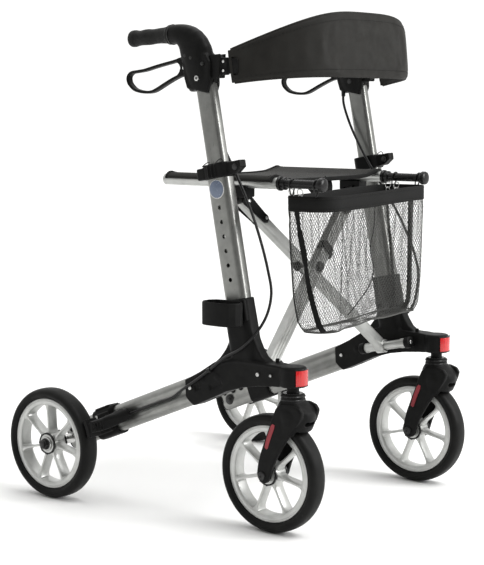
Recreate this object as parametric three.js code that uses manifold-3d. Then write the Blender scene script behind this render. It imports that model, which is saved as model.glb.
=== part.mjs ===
// Folding four-wheeled walker (rollator) with cross-brace frame, sling seat,
// curved back strap, loop hand brakes, swivel casters and a net shopping bag.
// Millimetres, +X is the travel direction, +Y is the user's left, +Z is up.
// The origin is on the floor midway between the front and rear wheel axles.
import * as THREE from 'three';
import { mergeVertices } from 'three/addons/utils/BufferGeometryUtils.js';
import Module from 'manifold-3d';

const wasm = await Module();
wasm.setup();
const { Manifold, Mesh: MMesh } = wasm;

// ---------------------------------------------------------------- dimensions
const V = (x, y, z) => new THREE.Vector3(x, y, z);
const G = 0.3;                       // assembly gap between touching parts
const WHEEL_R = 100, WHEEL_W = 36, RIM_R = 81.5;
const REAR = { x: -224, y: 294 };    // rear wheel centre
const FRONT = { x: 224, y: 222 };    // front wheel centre
const STEM_X = 266;                  // caster swivel axis
const YU = 222;                      // side frame plane
const LEAN = THREE.MathUtils.degToRad(11);   // uprights lean back
const SL = Math.sin(LEAN), CL = Math.cos(LEAN);
const U = V(-SL, 0, CL);             // up along the upright
const N = V(CL, 0, SL);              // forward, square to the upright
const UP0 = { x: 152, z: 382 };      // a point on the upright's axis
const onUpright = (s, y) => V(UP0.x - SL * s, y, UP0.z + CL * s);  // s from UP0
const OUT_W = 44, OUT_D = 28, IN_W = 37, IN_D = 21;
const HOLE_S = [159, 134.6, 110.2, 85.8, 61.4, 37];    // height holes, along the axis
const PIN_HOLE = 2;
const SEAT_Y = 156, SEAT_Z = 577, SEAT_R = 10;
const TUBE_A = THREE.MathUtils.degToRad(22.3);  // lower tube slope
const BRACE_PLANE = THREE.MathUtils.degToRad(12.3);

// ------------------------------------------------------------------- helpers
function clean(g) {
  g = g.index ? g.toNonIndexed() : g;
  g.deleteAttribute('normal'); g.deleteAttribute('uv');
  return mergeVertices(g, 1e-4);
}
function toM(g) {
  const c = clean(g);
  return new Manifold(new MMesh({ numProp: 3,
    vertProperties: new Float32Array(c.attributes.position.array),
    triVerts: new Uint32Array(c.index.array) }));
}
function fromM(m) {
  const r = m.getMesh(), g = new THREE.BufferGeometry();
  const n = r.numProp, p = new Float32Array(r.numVert * 3);
  for (let i = 0; i < r.numVert; i++) for (let k = 0; k < 3; k++) p[3 * i + k] = r.vertProperties[n * i + k];
  g.setAttribute('position', new THREE.BufferAttribute(p, 3));
  g.setIndex(Array.from(r.triVerts));
  return g;
}
const union = (...gs) => fromM(gs.map(g => toM(g)).reduce((a, b) => a.add(b)));
const cut = (g, ...tools) => fromM(tools.map(t => toM(t)).reduce((a, b) => a.subtract(b), toM(g)));
function volume(g) {
  const p = g.attributes.position, ix = g.index;
  let v = 0; const a = V(), b = V(), c = V();
  for (let i = 0; i < ix.count; i += 3) {
    a.fromBufferAttribute(p, ix.getX(i)); b.fromBufferAttribute(p, ix.getX(i + 1)); c.fromBufferAttribute(p, ix.getX(i + 2));
    v += a.dot(b.clone().cross(c)) / 6;
  }
  return v;
}
function build(pos, idx) {
  const g = new THREE.BufferGeometry();
  g.setAttribute('position', new THREE.Float32BufferAttribute(pos.flatMap(q => [q.x, q.y, q.z]), 3));
  g.setIndex(idx);
  if (volume(g) < 0) { for (let i = 0; i < idx.length; i += 3) [idx[i], idx[i + 1]] = [idx[i + 1], idx[i]]; g.setIndex(idx); }
  return g;
}
// skin through rings of equal length; caps are centroid fans unless looped
function loft(rings, loop = false) {
  const n = rings[0].length, pos = rings.flat(), idx = [];
  const m = rings.length;
  for (let i = 0; i < (loop ? m : m - 1); i++) {
    const a = i * n, b = ((i + 1) % m) * n;
    for (let j = 0; j < n; j++) { const k = (j + 1) % n; idx.push(a + j, b + j, b + k, a + j, b + k, a + k); }
  }
  if (!loop) for (const [s, flip] of [[0, false], [(m - 1) * n, true]]) {
    const c = V(); for (let j = 0; j < n; j++) c.add(pos[s + j]); c.multiplyScalar(1 / n);
    const ci = pos.push(c) - 1;
    for (let j = 0; j < n; j++) { const k = (j + 1) % n; flip ? idx.push(ci, s + k, s + j) : idx.push(ci, s + j, s + k); }
  }
  return build(pos, idx);
}
// rounded rectangle, full width w and height h
function rrect(w, h, r, seg = 3) {
  const p = [];
  for (const [cx, cy, a0] of [[w / 2 - r, h / 2 - r, 0], [-w / 2 + r, h / 2 - r, 90], [-w / 2 + r, -h / 2 + r, 180], [w / 2 - r, -h / 2 + r, 270]])
    for (let i = 0; i <= seg; i++) { const a = (a0 + 90 * i / seg) * Math.PI / 180; p.push([cx + r * Math.cos(a), cy + r * Math.sin(a)]); }
  return p;
}
const ellipse = (a, b, n = 14) => Array.from({ length: n }, (_, i) => [a * Math.cos(2 * Math.PI * i / n), b * Math.sin(2 * Math.PI * i / n)]);
const place = (ring, o, e1, e2) => ring.map(([u, v]) => o.clone().addScaledVector(e1, u).addScaledVector(e2, v));
// prism of a 2-D outline (with holes) in the plane e1,e2, running along e3 from t0 to t1
function prism(outline, holes, o, e1, e2, t0, t1) {
  const sh = new THREE.Shape(outline.map(p => new THREE.Vector2(p[0], p[1])));
  for (const h of holes) sh.holes.push(new THREE.Path(h.map(p => new THREE.Vector2(p[0], p[1]))));
  const g = new THREE.ExtrudeGeometry(sh, { depth: t1 - t0, bevelEnabled: false, steps: 1 });
  const e3 = e1.clone().cross(e2).normalize();
  const m = new THREE.Matrix4().makeBasis(e1, e2, e3);
  g.translate(0, 0, t0); g.applyMatrix4(m); g.translate(o.x, o.y, o.z);
  const c = clean(g);
  return build(Array.from({ length: c.attributes.position.count }, (_, i) => V().fromBufferAttribute(c.attributes.position, i)), Array.from(c.index.array));
}
const X = V(1, 0, 0), Y = V(0, 1, 0), Z = V(0, 0, 1);
// side outline in X-Z, thickness along Y from y0 to y1 (X x Z = -Y)
const plate = (outline, holes, y0, y1) => prism(outline, holes, V(0, 0, 0), X, Z, -Math.max(y0, y1), -Math.min(y0, y1));
// cylinder between two points
function rod(a, b, r, n = 20) {
  const d = b.clone().sub(a).normalize();
  const e1 = Math.abs(d.z) < 0.9 ? Z.clone().cross(d).normalize() : X.clone().cross(d).normalize();
  const e2 = d.clone().cross(e1);
  return loft([place(ellipse(r, r, n), a, e1, e2), place(ellipse(r, r, n), b, e1, e2)]);
}
// closed profile [r, t] turned about an axis through o along d
function turn(profile, o, d, n = 40) {
  const e1 = Math.abs(d.z) < 0.9 ? Z.clone().cross(d).normalize() : X.clone().cross(d).normalize();
  const e2 = d.clone().cross(e1), rings = [];
  for (let i = 0; i < n; i++) {
    const a = 2 * Math.PI * i / n, e = e1.clone().multiplyScalar(Math.cos(a)).addScaledVector(e2, Math.sin(a));
    rings.push(profile.map(([r, t]) => o.clone().addScaledVector(e, r).addScaledVector(d, t)));
  }
  return loft(rings, true);
}
// sweep a ring along a path with a fixed reference up vector
function sweep(path, ring, ref) {
  const rings = path.map((p, i) => {
    const t = (path[Math.min(i + 1, path.length - 1)]).clone().sub(path[Math.max(i - 1, 0)]).normalize();
    const e1 = t.clone().cross(ref).normalize(), e2 = e1.clone().cross(t).normalize();
    return place(typeof ring === 'function' ? ring(i) : ring, p, e1, e2);
  });
  return loft(rings);
}
const box = (x0, x1, y0, y1, z0, z1) => plate([[x0, z0], [x1, z0], [x1, z1], [x0, z1]], [], y0, y1);

const group = new THREE.Group();
group.name = 'rollator';
const colours = { alu: 0x9c9d98, black: 0x1f1f1f, tyre: 0x2b2b2a, rim: 0xc9cac6, red: 0xd01018, fabric: 0x2a2a28, mesh: 0xbdbdb6, steel: 0xb8b8b8 };
function add(name, g, colour) {
  g = clean(g);
  const mesh = new THREE.Mesh(g, new THREE.MeshStandardMaterial({ color: colours[colour] }));
  mesh.name = name;
  group.add(mesh);
}
const mirrorY = g => {
  const c = clean(g.clone()), p = c.attributes.position;
  const pos = Array.from({ length: p.count }, (_, i) => V(p.getX(i), -p.getY(i), p.getZ(i)));
  return build(pos, Array.from(c.index.array));
};
// every part of the left side frame mirrors its right-hand twin
const pair = (name, g, colour) => { add(name + '_right', g, colour); add(name + '_left', mirrorY(g), colour); };
const R = -1;                         // the right side frame is at y < 0
const y0 = R * YU;

// -------------------------------------------------------------------- wheels
const tyreProfile = [[RIM_R + G, -13], [90, -18], [96.2, -15], [100, -5], [100, 5], [96.2, 15], [90, 18], [RIM_R + G, 13]];
function rim(cx, cy) {
  const o = V(cx, cy, 100);
  const ring = turn([[70.5, -11], [RIM_R, -13], [RIM_R, 13], [70.5, 11]], o, Y, 32);
  const hub = turn([[5.25, -16], [17, -16], [17, 16], [5.25, 16]], o, Y, 16);
  const parts = [ring, hub];
  for (let k = 0; k < 7; k++) {
    const a = (2 * Math.PI * k) / 7 + Math.PI / 2 + 0.05;
    const d = V(Math.cos(a), 0, Math.sin(a)), t = V(-Math.sin(a), 0, Math.cos(a));
    const sec = (r, w, dep) => place([[-w / 2, -dep / 2], [w / 2, -dep / 2], [w / 2, dep / 2], [-w / 2, dep / 2]], o.clone().addScaledVector(d, r), t, Y);
    parts.push(loft([sec(13, 8, 26), sec(72.5, 8, 18)]));
  }
  return union(...parts);
}
for (const [nm, c] of [['rear', REAR], ['front', FRONT]]) {
  pair(nm + '_tyre', turn(tyreProfile, V(c.x, R * c.y, 100), Y, 32), 'tyre');
  pair(nm + '_rim', rim(c.x, R * c.y), 'rim');
}
// rear axle: spacer from the lower tube, shaft through the hub, hex nut outside
const hex = (r) => Array.from({ length: 6 }, (_, i) => [r * Math.cos(i * Math.PI / 3), r * Math.sin(i * Math.PI / 3)]);
pair('rear_axle', union(
  rod(V(REAR.x, R * 234.9, 100), V(REAR.x, R * 277.7, 100), 9, 18),
  rod(V(REAR.x, R * 270, 100), V(REAR.x, R * 316, 100), 5, 16),
  rod(V(REAR.x, R * 310.4, 100), V(REAR.x, R * 313, 100), 11, 18),
  prism(hex(8.5), [], V(REAR.x, 0, 100), X, Z, R * -312, R * -321)), 'steel');
// front axle: shaft between the fork legs with a head on each side
pair('front_axle', union(
  rod(V(FRONT.x, R * (FRONT.y - 31), 100), V(FRONT.x, R * (FRONT.y + 31), 100), 5, 16),
  rod(V(FRONT.x, R * (FRONT.y - 31), 100), V(FRONT.x, R * (FRONT.y - 28.8), 100), 8, 12),
  rod(V(FRONT.x, R * (FRONT.y + 28.8), 100), V(FRONT.x, R * (FRONT.y + 31), 100), 8, 12)), 'steel');

// --------------------------------------------------------------- caster fork
const legOutline = [[296, 207], [289, 192], [272, 171], [256, 142], [245, 120], [238.5, 103]];
for (let i = 0; i <= 8; i++) { const a = (10 - 200 * i / 8) * Math.PI / 180; legOutline.push([225.5 + 13 * Math.cos(a), 100 + 13 * Math.sin(a)]); }
legOutline.push([214, 118], [221, 136], [231, 162], [240, 186], [244, 207], [252, 222], [284, 222]);
const legHole = ellipse(5.15, 5.15, 16).map(([a, b]) => [FRONT.x + a, 100 + b]);
const yf = R * FRONT.y;
const crownSec = (z, cx, a, b) => place(ellipse(a, b, 16), V(cx, yf, z), X, Y);
pair('caster_fork', union(
  loft([crownSec(203.5, 270, 31, 27), crownSec(212, 271, 33, 28.4), crownSec(220, 270, 30, 26), crownSec(228, 268, 23.5, 22), crownSec(231, 266, 18, 18), crownSec(240, 266, 18, 18)]),
  rod(V(STEM_X, yf, 236), V(STEM_X, yf, 274), 10, 20),
  plate(legOutline, [legHole], yf + 20.6, yf + 28.2),
  plate(legOutline, [legHole], yf - 20.6, yf - 28.2)), 'black');

// ----------------------------------------------------------- lower side tube
// stacked double-lobe extrusion with a cable groove down the outer face
const tc = V(-34.5, y0, 183);                                  // mid point of the tube's axis
const TD = V(Math.cos(TUBE_A), 0, Math.sin(TUBE_A));           // towards the front and up
const TN = V(-Math.sin(TUBE_A), 0, Math.cos(TUBE_A));          // square to it, up
const lobes = (w, h, waist, grow = 0) => {                     // [Y, TN] outline
  const p = [], r = w / 2 + grow, c = h / 2 - w / 2;
  for (let i = 0; i <= 8; i++) { const a = (-38 + 256 * i / 8) * Math.PI / 180; p.push([r * Math.cos(a), c + r * Math.sin(a)]); }
  for (let i = 0; i <= 8; i++) { const a = (142 + 256 * i / 8) * Math.PI / 180; p.push([r * Math.cos(a), -c + r * Math.sin(a)]); }
  return p;
};
const tubeAt = (d) => tc.clone().addScaledVector(TD, d);
const TUBE_F = 152, TUBE_B = -228;                             // front end and rear end, along TD
// Y x TN = TD
pair('lower_tube', cut(prism(lobes(25, 48, 18), [rrect(17, 42, 6, 2)], tc, Y, TN, TUBE_B, TUBE_F),
  rod(V(REAR.x, y0 - 20, 100), V(REAR.x, y0 + 20, 100), 5.3, 16)), 'alu');

// ------------------------------------------------------------ frame junction
const sleeveOut = rrect(51, 35, 12, 3), tubeOut = rrect(OUT_W, OUT_D, 10, 3);
const grow = (w, h, r, g, s = 3) => rrect(w + 2 * g, h + 2 * g, r + g, s);
// N x Y = U  (e1 forward, e2 left)
const arm = [[44, 238], [46, 208], [64, 195], [97, 210], [135, 229], [172, 241], [205, 247], [240, 250], [262, 250.3], [262, 283], [240, 285], [212, 285.5], [150, 288], [110, 276], [95, 263]];
const web = [[150, 340], [143, 322], [139, 303], [128, 288], [113, 276], [95, 262], [100, 240], [250, 262], [250, 284], [211, 285], [197, 304], [188, 322], [182, 345]];
const nose = turn([[10.3, 250.3], [22.5, 250.3], [22.5, 282], [20, 284.5], [10.3, 284.5]], V(STEM_X, y0, 0), Z, 24);
const noseCap = rod(V(STEM_X, y0, 276), V(STEM_X, y0, 284.4), 14, 12);
const reflShell = [];
pair('junction', cut(union(
  prism(sleeveOut, [], onUpright(0, y0), N, Y, -68, 4),
  plate(arm, [], y0 - 17, y0 + 17),
  plate(web, [], y0 - 9, y0 + 9),
  nose, noseCap),
  prism(grow(OUT_W, OUT_D, 10, G), [], onUpright(0, y0), N, Y, -70, 10),
  prism(lobes(25, 48, 18, G).map(([a, b]) => [a, b * 1.012]), [], tc, Y, TN, -20, TUBE_F + 1),
  rod(V(STEM_X, y0, 245), V(STEM_X, y0, 275), 10.3, 20)), 'black');
{
  const arc = (r, a0, a1, n) => Array.from({ length: n + 1 }, (_, i) => { const a = (a0 + (a1 - a0) * i / n) * Math.PI / 180; return [r * Math.cos(a), r * Math.sin(a)]; });
  const o = [...arc(24.6, -42, 42, 10), ...arc(22.5 + G, 42, -42, 10)];
  pair('reflector', prism(o, [], V(STEM_X, y0, 0), X, Y, 254, 280), 'red');
}

// ------------------------------------------------------------------ uprights
const outerTop = 216;                                          // along U from UP0
const hole = (s, r) => rod(onUpright(s, y0 - 5), onUpright(s, y0 - 20), r, 12);
pair('outer_tube', cut(prism(tubeOut, [rrect(OUT_W - 4, OUT_D - 4, 8, 3)], onUpright(0, y0), N, Y, -66, outerTop),
  ...HOLE_S.map(s => hole(s, 3.6))), 'alu');
pair('inner_tube', cut(prism(rrect(IN_W, IN_D, 7.5, 3), [rrect(IN_W - 3.6, IN_D - 3.6, 5.7, 3)], onUpright(0, y0), N, Y, 76, 398),
  hole(HOLE_S[PIN_HOLE], 4.1)), 'alu');
// spring button of the height stop; its tip stands just behind the outer tube's wall
pair('snap_button', union(rod(onUpright(HOLE_S[PIN_HOLE], y0 - 7), onUpright(HOLE_S[PIN_HOLE], y0 - 11.7), 3.8, 12),
  rod(onUpright(HOLE_S[PIN_HOLE], y0 - 4), onUpright(HOLE_S[PIN_HOLE], y0 - 8), 5, 12)), 'steel');
// clamp collar with front and rear lugs and ribs on the outer face
const collarO = rrect(52, 37, 13, 4);
pair('collar', cut(union(
  prism(collarO, [], onUpright(0, y0), N, Y, 208, 233),
  prism([[22, -9], [49, -9], [53, -5], [53, 5], [49, 9], [22, 9]], [], onUpright(0, y0), N, Y, 210, 231),
  prism([[-36, -17.5], [-18, -17.5], [-18, -5], [-36, -5]], [], onUpright(0, y0), N, Y, 209, 229),
  ...[-9, -1.5, 6].map(u => prism([[u, -20.6], [u + 2.6, -20.6], [u + 2.6, -16], [u, -16]], [], onUpright(0, y0), N, Y, 209, 231))),
  prism(grow(OUT_W, OUT_D, 10, G), [], onUpright(0, y0), N, Y, 200, outerTop + 0.4),
  prism(grow(IN_W, IN_D, 7.5, G), [], onUpright(0, y0), N, Y, 200, 240)), 'black');

// ------------------------------------------- cane cup, right side frame only
{
  const cc = onUpright(-17, y0);                               // the band's middle height
  const o = rrect(74, 42, 20, 5).map(([a, b]) => [a - 6, b - 39.4]);
  const i = rrect(69, 37, 17.5, 5).map(([a, b]) => [a - 6, b - 39.4]);
  add('cane_cup_right', prism(o, [i], V(cc.x, y0, 0), X, Y, 346, 385), 'black');
}

// ------------------------------------------------------------ rear brake set
const houO = rrect(34, 55, 10, 3);                              // [Y, TN]
pair('brake_housing', cut(union(
  prism(houO, [], tc, Y, TN, -150, -96),
  prism([[-24, -9], [-12, -9], [-12, 11], [-24, 11]], [], tc, Y, TN, -96, -72),
  prism([[-24, -9], [-12, -9], [-12, 11], [-24, 11]], [], tc, Y, TN, -112, -90)),
  prism(lobes(25, 48, 18, G).map(([a, b]) => [a, b * 1.012]), [], tc, Y, TN, -160, -60)), 'black');
{
  // curved pad in front of the tread on an arm that reaches out from the housing
  const w = V(REAR.x, 0, 100), padAng = [13, 19, 25, 31].map(a => a * Math.PI / 180);
  const arcp = (r, as) => as.map(a => [w.x + r * Math.cos(a), w.z + r * Math.sin(a)]);
  const pad = plate([...arcp(103, padAng), ...arcp(113, [...padAng].reverse())], [], R * 280, R * 308);
  const sec = (x, y, z, h, t) => place([[-t / 2, -h / 2], [t / 2, -h / 2], [t / 2, h / 2], [-t / 2, h / 2]], V(x, y, z), X, Z);
  const armG = loft([sec(-92, R * 246.6, 161, 20, 26), sec(-101, R * 262, 153, 21, 20), sec(-115, R * 281, 145, 22, 9)]);
  pair('brake_shoe', union(pad, armG, loft([sec(-115, R * 280.5, 145, 22, 9), sec(-116.5, R * 306, 144, 20, 8)])), 'black');
}

// ------------------------------------------------------------------- handles
const hs = (cx, cz, a, b, deg, n = 16) => {                    // deg: direction of travel in the X-Z plane
  const t = deg * Math.PI / 180, e = V(Math.sin(t), 0, -Math.cos(t));
  return place(ellipse(a, b, n).map(([p, q]) => [Math.sign(p) * Math.pow(Math.abs(p / a), 0.86) * a, Math.sign(q) * Math.pow(Math.abs(q / b), 0.86) * b]), V(cx, y0, cz), e, Y);
};
const housing = loft([hs(74.5, 737, 27.5, 15.5, 100), hs(73, 748, 28.5, 17, 100), hs(67, 772, 30, 18, 102), hs(60, 794, 31, 18, 112),
  hs(49, 812, 27, 17.5, 135), hs(36, 822, 21, 17, 158), hs(24, 826, 17.5, 17, 175), hs(13, 826.5, 16.5, 16.5, 180), hs(8.4, 826.5, 15.5, 15.5, 180)]);
const LEV = { x: 38, z: 770 };                                  // lever pivot
pair('handle_housing', cut(housing,
  prism(grow(IN_W, IN_D, 7.5, G), [], onUpright(0, y0), N, Y, 340, 398.4),
  box(20, 54, y0 - 8, y0 + 8, 745, 795)), 'black');
pair('grip', loft([[-88, 12.4], [-86, 14.2], [-78, 14.6], [-62, 13.2], [-46, 13.6], [-30, 12.8], [-14, 13.4], [0, 14.6], [2.5, 17], [7.8, 17]].map(([x, r]) =>
  hs(x, 821.6 + (x + 88) * 0.051, r, r * 0.94, 180))), 'black');
// loop lever: a flat strap bent into a closed finger loop
const leverO = [[44, 784], [38, 790], [26, 788], [-10, 780], [-55, 770], [-84, 767], [-94, 762], [-97.5, 754], [-94, 743], [-84, 734], [-68, 728.5], [-46, 727], [-26, 732], [0, 744], [24, 754], [40, 758], [46, 766]];
const leverI = [[22, 782], [-10, 774.6], [-54, 764.6], [-82, 761.6], [-89.5, 757.5], [-91, 752.5], [-87.6, 745], [-80, 739], [-66, 734], [-47, 732.5], [-28.5, 737.4], [-3, 749.4], [20, 759.5], [26, 770]];
pair('brake_lever', plate(leverO, [leverI], y0 - 6.8, y0 + 6.8), 'black');
// bracket that carries the back strap in front of each housing
pair('backrest_bracket', union(box(101.5, 150, y0 - 4.5, y0 + 4.5, 757, 786), rod(V(108.6, y0, 755), V(108.6, y0, 789), 7.2, 16)), 'black');

// ------------------------------------------------------------------ backrest
{
  const n = 29, rings = [];
  for (let i = 0; i < n; i++) {
    const s = -1 + 2 * i / (n - 1), t = Math.sign(s) * (1 - Math.pow(1 - Math.abs(s), 1.15));
    const prof = (q) => { const a = Math.min(1, Math.abs(q)); return V(138 + 122 * Math.pow(1 - Math.pow(a, 4.2), 1.05), YU * q, 0); };
    const p = prof(t), d = prof(Math.min(1, t + 0.01)).sub(prof(Math.max(-1, t - 0.01))).normalize();
    const nrm = V(d.y, -d.x, 0).normalize();                   // outward (forward)
    const zb = 743 + 12 * (1 - Math.pow(Math.abs(t), 6)), zt = 797 + 66 * (1 - Math.pow(Math.abs(t), 3.3));
    const h = zt - zb, th = 7;
    const sec = [[-th, 0.03], [-th * 0.55, 0], [th * 0.55, 0], [th, 0.03], [th, 0.5], [th, 0.97], [th * 0.5, 1], [-th * 0.5, 1], [-th, 0.97], [-th, 0.5]];
    rings.push(sec.map(([u, v]) => p.clone().addScaledVector(nrm, u).add(V(-9 * v, 0, zb + h * v))));
  }
  // pockets at both ends take the bracket tongues
  let g = loft(rings);
  g = cut(g, box(95, 150.4, -YU - 4.8, -YU + 4.8, 756.7, 786.3), box(95, 150.4, YU - 4.8, YU + 4.8, 756.7, 786.3));
  add('backrest', g, 'fabric');
}

// ------------------------------------------------------ cross brace and seat
const BL = Math.sin(BRACE_PLANE), BC = Math.cos(BRACE_PLANE);
const BU = V(-BL, 0, BC), BN = V(BC, 0, BL);                   // up in the brace plane, its normal
const FOOT = { y: 190, z: 257 }, CROSS = { z: 418 }, TOP = { y: 154, z: 549 };
const bracePoint = (y, z, off, x0) => V(x0 - Math.tan(BRACE_PLANE) * (z - CROSS.z), y, z).addScaledVector(BN, off);
const XC = 139;                                                // brace plane at the crossing height
const BOFF = 9.5;                                              // each brace is this far from the middle plane
function brace(sign, off, ribbed) {
  // from the foot at y = sign*190 up to the seat tube at y = -sign*154
  const f = bracePoint(sign * FOOT.y, FOOT.z, off, XC), t = bracePoint(-sign * TOP.y, TOP.z, off, XC);
  const d = t.clone().sub(f).normalize(), e = d.clone().cross(BN).normalize();
  const L = t.clone().sub(f).length();
  const o = ribbed ? [[8.5, -11], [8.5, -5], [6.7, -4], [8.5, -3], [8.5, 3], [6.7, 4], [8.5, 5], [8.5, 11], [-8.5, 11], [-8.5, 5], [-6.7, 4], [-8.5, 3], [-8.5, -3], [-6.7, -4], [-8.5, -5], [-8.5, -11]] : rrect(17, 22, 5, 3);
  // BN x e = d
  const tube = prism(o, [[[5.8, -9], [5.8, 9], [-5.8, 9], [-5.8, -9]]], f, BN, e, 0, L);
  return { f, t, d, e, L, tube };
}
const A = brace(1, -BOFF, false);      // foot on the left frame, carries the right seat tube
const B = brace(-1, BOFF, true);       // foot on the right frame, carries the left seat tube
// pivot tubes run fore and aft along the brace hinge line on each frame's inner face
const pivotC = s => V(XC - Math.tan(BRACE_PLANE) * (FOOT.z - CROSS.z), s * FOOT.y, FOOT.z);
const onPivot = (s, d) => pivotC(s).addScaledVector(BN, d);
const crossC = V(XC, 0, CROSS.z);
for (const [nm, b, s, off] of [['brace_a', A, 1, -BOFF], ['brace_b', B, -1, BOFF]]) {
  const eye = rod(onPivot(s, off - 9.5), onPivot(s, off + 9.5), 12.5, 16);
  add(nm, cut(union(b.tube, eye), rod(onPivot(s, off - 30), onPivot(s, off + 30), 8.3, 16),
    rod(crossC.clone().addScaledVector(BN, -40), crossC.clone().addScaledVector(BN, 40), 5.3, 12)), 'alu');
}
// pivot tube with end lugs that bolt to the junction's inner face
{
  const s = R, lug = (d) => loft([
    place(rrect(10, 18, 3, 2), onPivot(s, d).add(V(0, -4, 0)), BN, BU),
    place(rrect(10, 18, 3, 2), V(onPivot(s, d).x, s * (YU - 17.3), onPivot(s, d).z), BN, BU)]);
  pair('pivot_tube', union(rod(onPivot(s, -46), onPivot(s, 46), 8, 16), lug(-40), lug(40)), 'alu');
}
add('brace_bolt', union(
  rod(crossC.clone().addScaledVector(BN, -24), crossC.clone().addScaledVector(BN, 24), 5, 12),
  rod(crossC.clone().addScaledVector(BN, -24), crossC.clone().addScaledVector(BN, -18.3), 9, 12),
  rod(crossC.clone().addScaledVector(BN, 18.3), crossC.clone().addScaledVector(BN, 24), 9, 12)), 'steel');
// seat tubes, each with a thinner black bag carrier plugged into its front end
for (const [nm, s, b] of [['right', -1, A], ['left', 1, B]]) {
  add('seat_tube_' + nm, cut(rod(V(-68, s * SEAT_Y, SEAT_Z), V(186, s * SEAT_Y, SEAT_Z), SEAT_R, 20), rod(V(-70, s * SEAT_Y, SEAT_Z), V(188, s * SEAT_Y, SEAT_Z), SEAT_R - 1.8, 16)), 'alu');
  add('bag_sleeve_' + nm, union(
    rod(V(186.3, s * SEAT_Y, SEAT_Z), V(191.4, s * SEAT_Y, SEAT_Z), 12, 16),
    rod(V(190, s * SEAT_Y, SEAT_Z), V(201, s * SEAT_Y, SEAT_Z), 10, 16),
    rod(V(200, s * SEAT_Y, SEAT_Z), V(271, s * SEAT_Y, SEAT_Z), 7.4, 16),
    rod(V(270, s * SEAT_Y, SEAT_Z), V(280, s * SEAT_Y, SEAT_Z), 12, 16)), 'black');
  // bracket: saddle under the seat tube and two ears straddling the brace
  const tp = b.t, d = b.d, e = b.e, e0 = V(tp.x, s * SEAT_Y, SEAT_Z);
  const ear = off => prism([[-62, -8], [-2, -12], [6, -12], [6, 12], [-2, 12], [-62, 8], [-66, 0]].map(([u, v]) => [u, v]), [], tp.clone().addScaledVector(BN, off), d, e.clone().multiplyScalar(1), -2, 2);
  const saddle = box(tp.x - 22, tp.x + 22, s * SEAT_Y - 13, s * SEAT_Y + 13, 551, 568.6);
  const cutTube = rod(V(tp.x - 40, s * SEAT_Y, SEAT_Z), V(tp.x + 40, s * SEAT_Y, SEAT_Z), SEAT_R + G, 20);
  const be = tp.clone().addScaledVector(d, 0.3), room = prism([[8.8, -11.3], [8.8, 11.3], [-8.8, 11.3], [-8.8, -11.3]], [], tp, BN, e, -60, 0.3);
  add('seat_bracket_' + nm, cut(union(saddle, ear(11), ear(-11)), cutTube, room), 'black');
}
// sling seat: cloth over both tubes with a slight sag
{
  const rings = [], nx = 9, x0 = -58, x1 = 176, T = 2.6, rt = SEAT_R + 0.4;
  const profile = [];
  const arcY = (s, a) => [s * SEAT_Y + rt * Math.cos(a), SEAT_Z + rt * Math.sin(a)];
  const arcO = (s, a) => [s * SEAT_Y + (rt + T) * Math.cos(a), SEAT_Z + (rt + T) * Math.sin(a)];
  // inner line from right wrap over the span to the left wrap, then back outside
  const wrapR = [165, 152, 139, 126, 113, 100].map(a => a * Math.PI / 180), wrapL = [80, 67, 54, 41, 28, 15].map(a => a * Math.PI / 180);
  const sag = (y) => SEAT_Z + rt - (Math.abs(y) < 60 ? 6 : 3.4);   // flat in the middle
  const mid = [-110, -55, 55, 110];
  const under = [...wrapR.map(a => arcY(-1, a)), ...mid.map(y => [y, sag(y)]), ...wrapL.map(a => arcY(1, a))];
  const over = [...wrapR.map(a => arcO(-1, a)), ...mid.map(y => [y, sag(y) + T]), ...wrapL.map(a => arcO(1, a))];
  const o = [...under, ...over.reverse()];
  add('seat', prism(o, [], V(0, 0, 0), Y, Z, x0, x1), 'fabric');
}

// ------------------------------------------------------------------ net bag
{
  // open bag: outer and inner skins joined over the rim
  const lev = [[559, 196, 284, 155], [536, 197, 284, 155], [470, 201, 284, 152], [400, 206, 284, 148], [356, 212, 283, 143], [338, 220, 276, 136]];
  const ring = (z, xa, xb, hy) => rrect(xb - xa, 2 * hy, 12, 2).map(([a, b]) => V((xa + xb) / 2 + a, b, z + b * (0.028 + 0.00009 * (559 - z))));
  const inner = lev.map(([z, xa, xb, hy], i) => ring(i === lev.length - 1 ? z + 2 : z, xa + 2, xb - 2, hy - 2)).reverse();
  const outer = lev.map(([z, xa, xb, hy]) => ring(z, xa, xb, hy));
  // from the inside floor up over the rim and down to the outside floor
  const rings = [...inner, ...outer];
  add('bag', loft(rings), 'mesh');
}

// -------------------------------------------------------------- brake cables
{
  const pts = [[57, y0 + 11, 731], [62, y0 + 17, 712], [80, y0 + 21, 672], [108, y0 + 22.5, 625], [150, y0 + 18, 560], [186, y0 + 8, 500], [212, y0 + 1, 440], [222, y0 - 2, 400], [216, y0 - 8, 362], [200, y0 - 20, 330], [178, y0 - 25, 308], [140, y0 - 23, 288], [104, y0 - 21.5, 262], [72, y0 - 20.6, 240], [54, y0 - 20.8, 228.5], [42, y0 - 19.9, 221]];
  // last stretch lies in the tube's outer groove
  for (const d of [50, 20, -30, -71.6]) { const p = tubeAt(d); pts.push([p.x, y0 - 12.7 - (d < -60 ? 1 : 0), p.z]); }
  const curve = new THREE.CatmullRomCurve3(pts.map(p => V(...p)), false, 'centripetal');
  const path = curve.getSpacedPoints(32);
  pair('brake_cable', sweep(path, ellipse(2.4, 2.4, 5), V(0.05, 1, 0.1).normalize()), 'black');
}

export default group;
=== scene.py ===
"""Looks for the folding four-wheeled walker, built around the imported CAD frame.

Lengths are in millimetres until a mesh is made. Most pieces are built on the right side, at -Y, and mirrored.
"""
import math

import bmesh
import bpy
import numpy as np
from mathutils import Matrix, Vector


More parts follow.
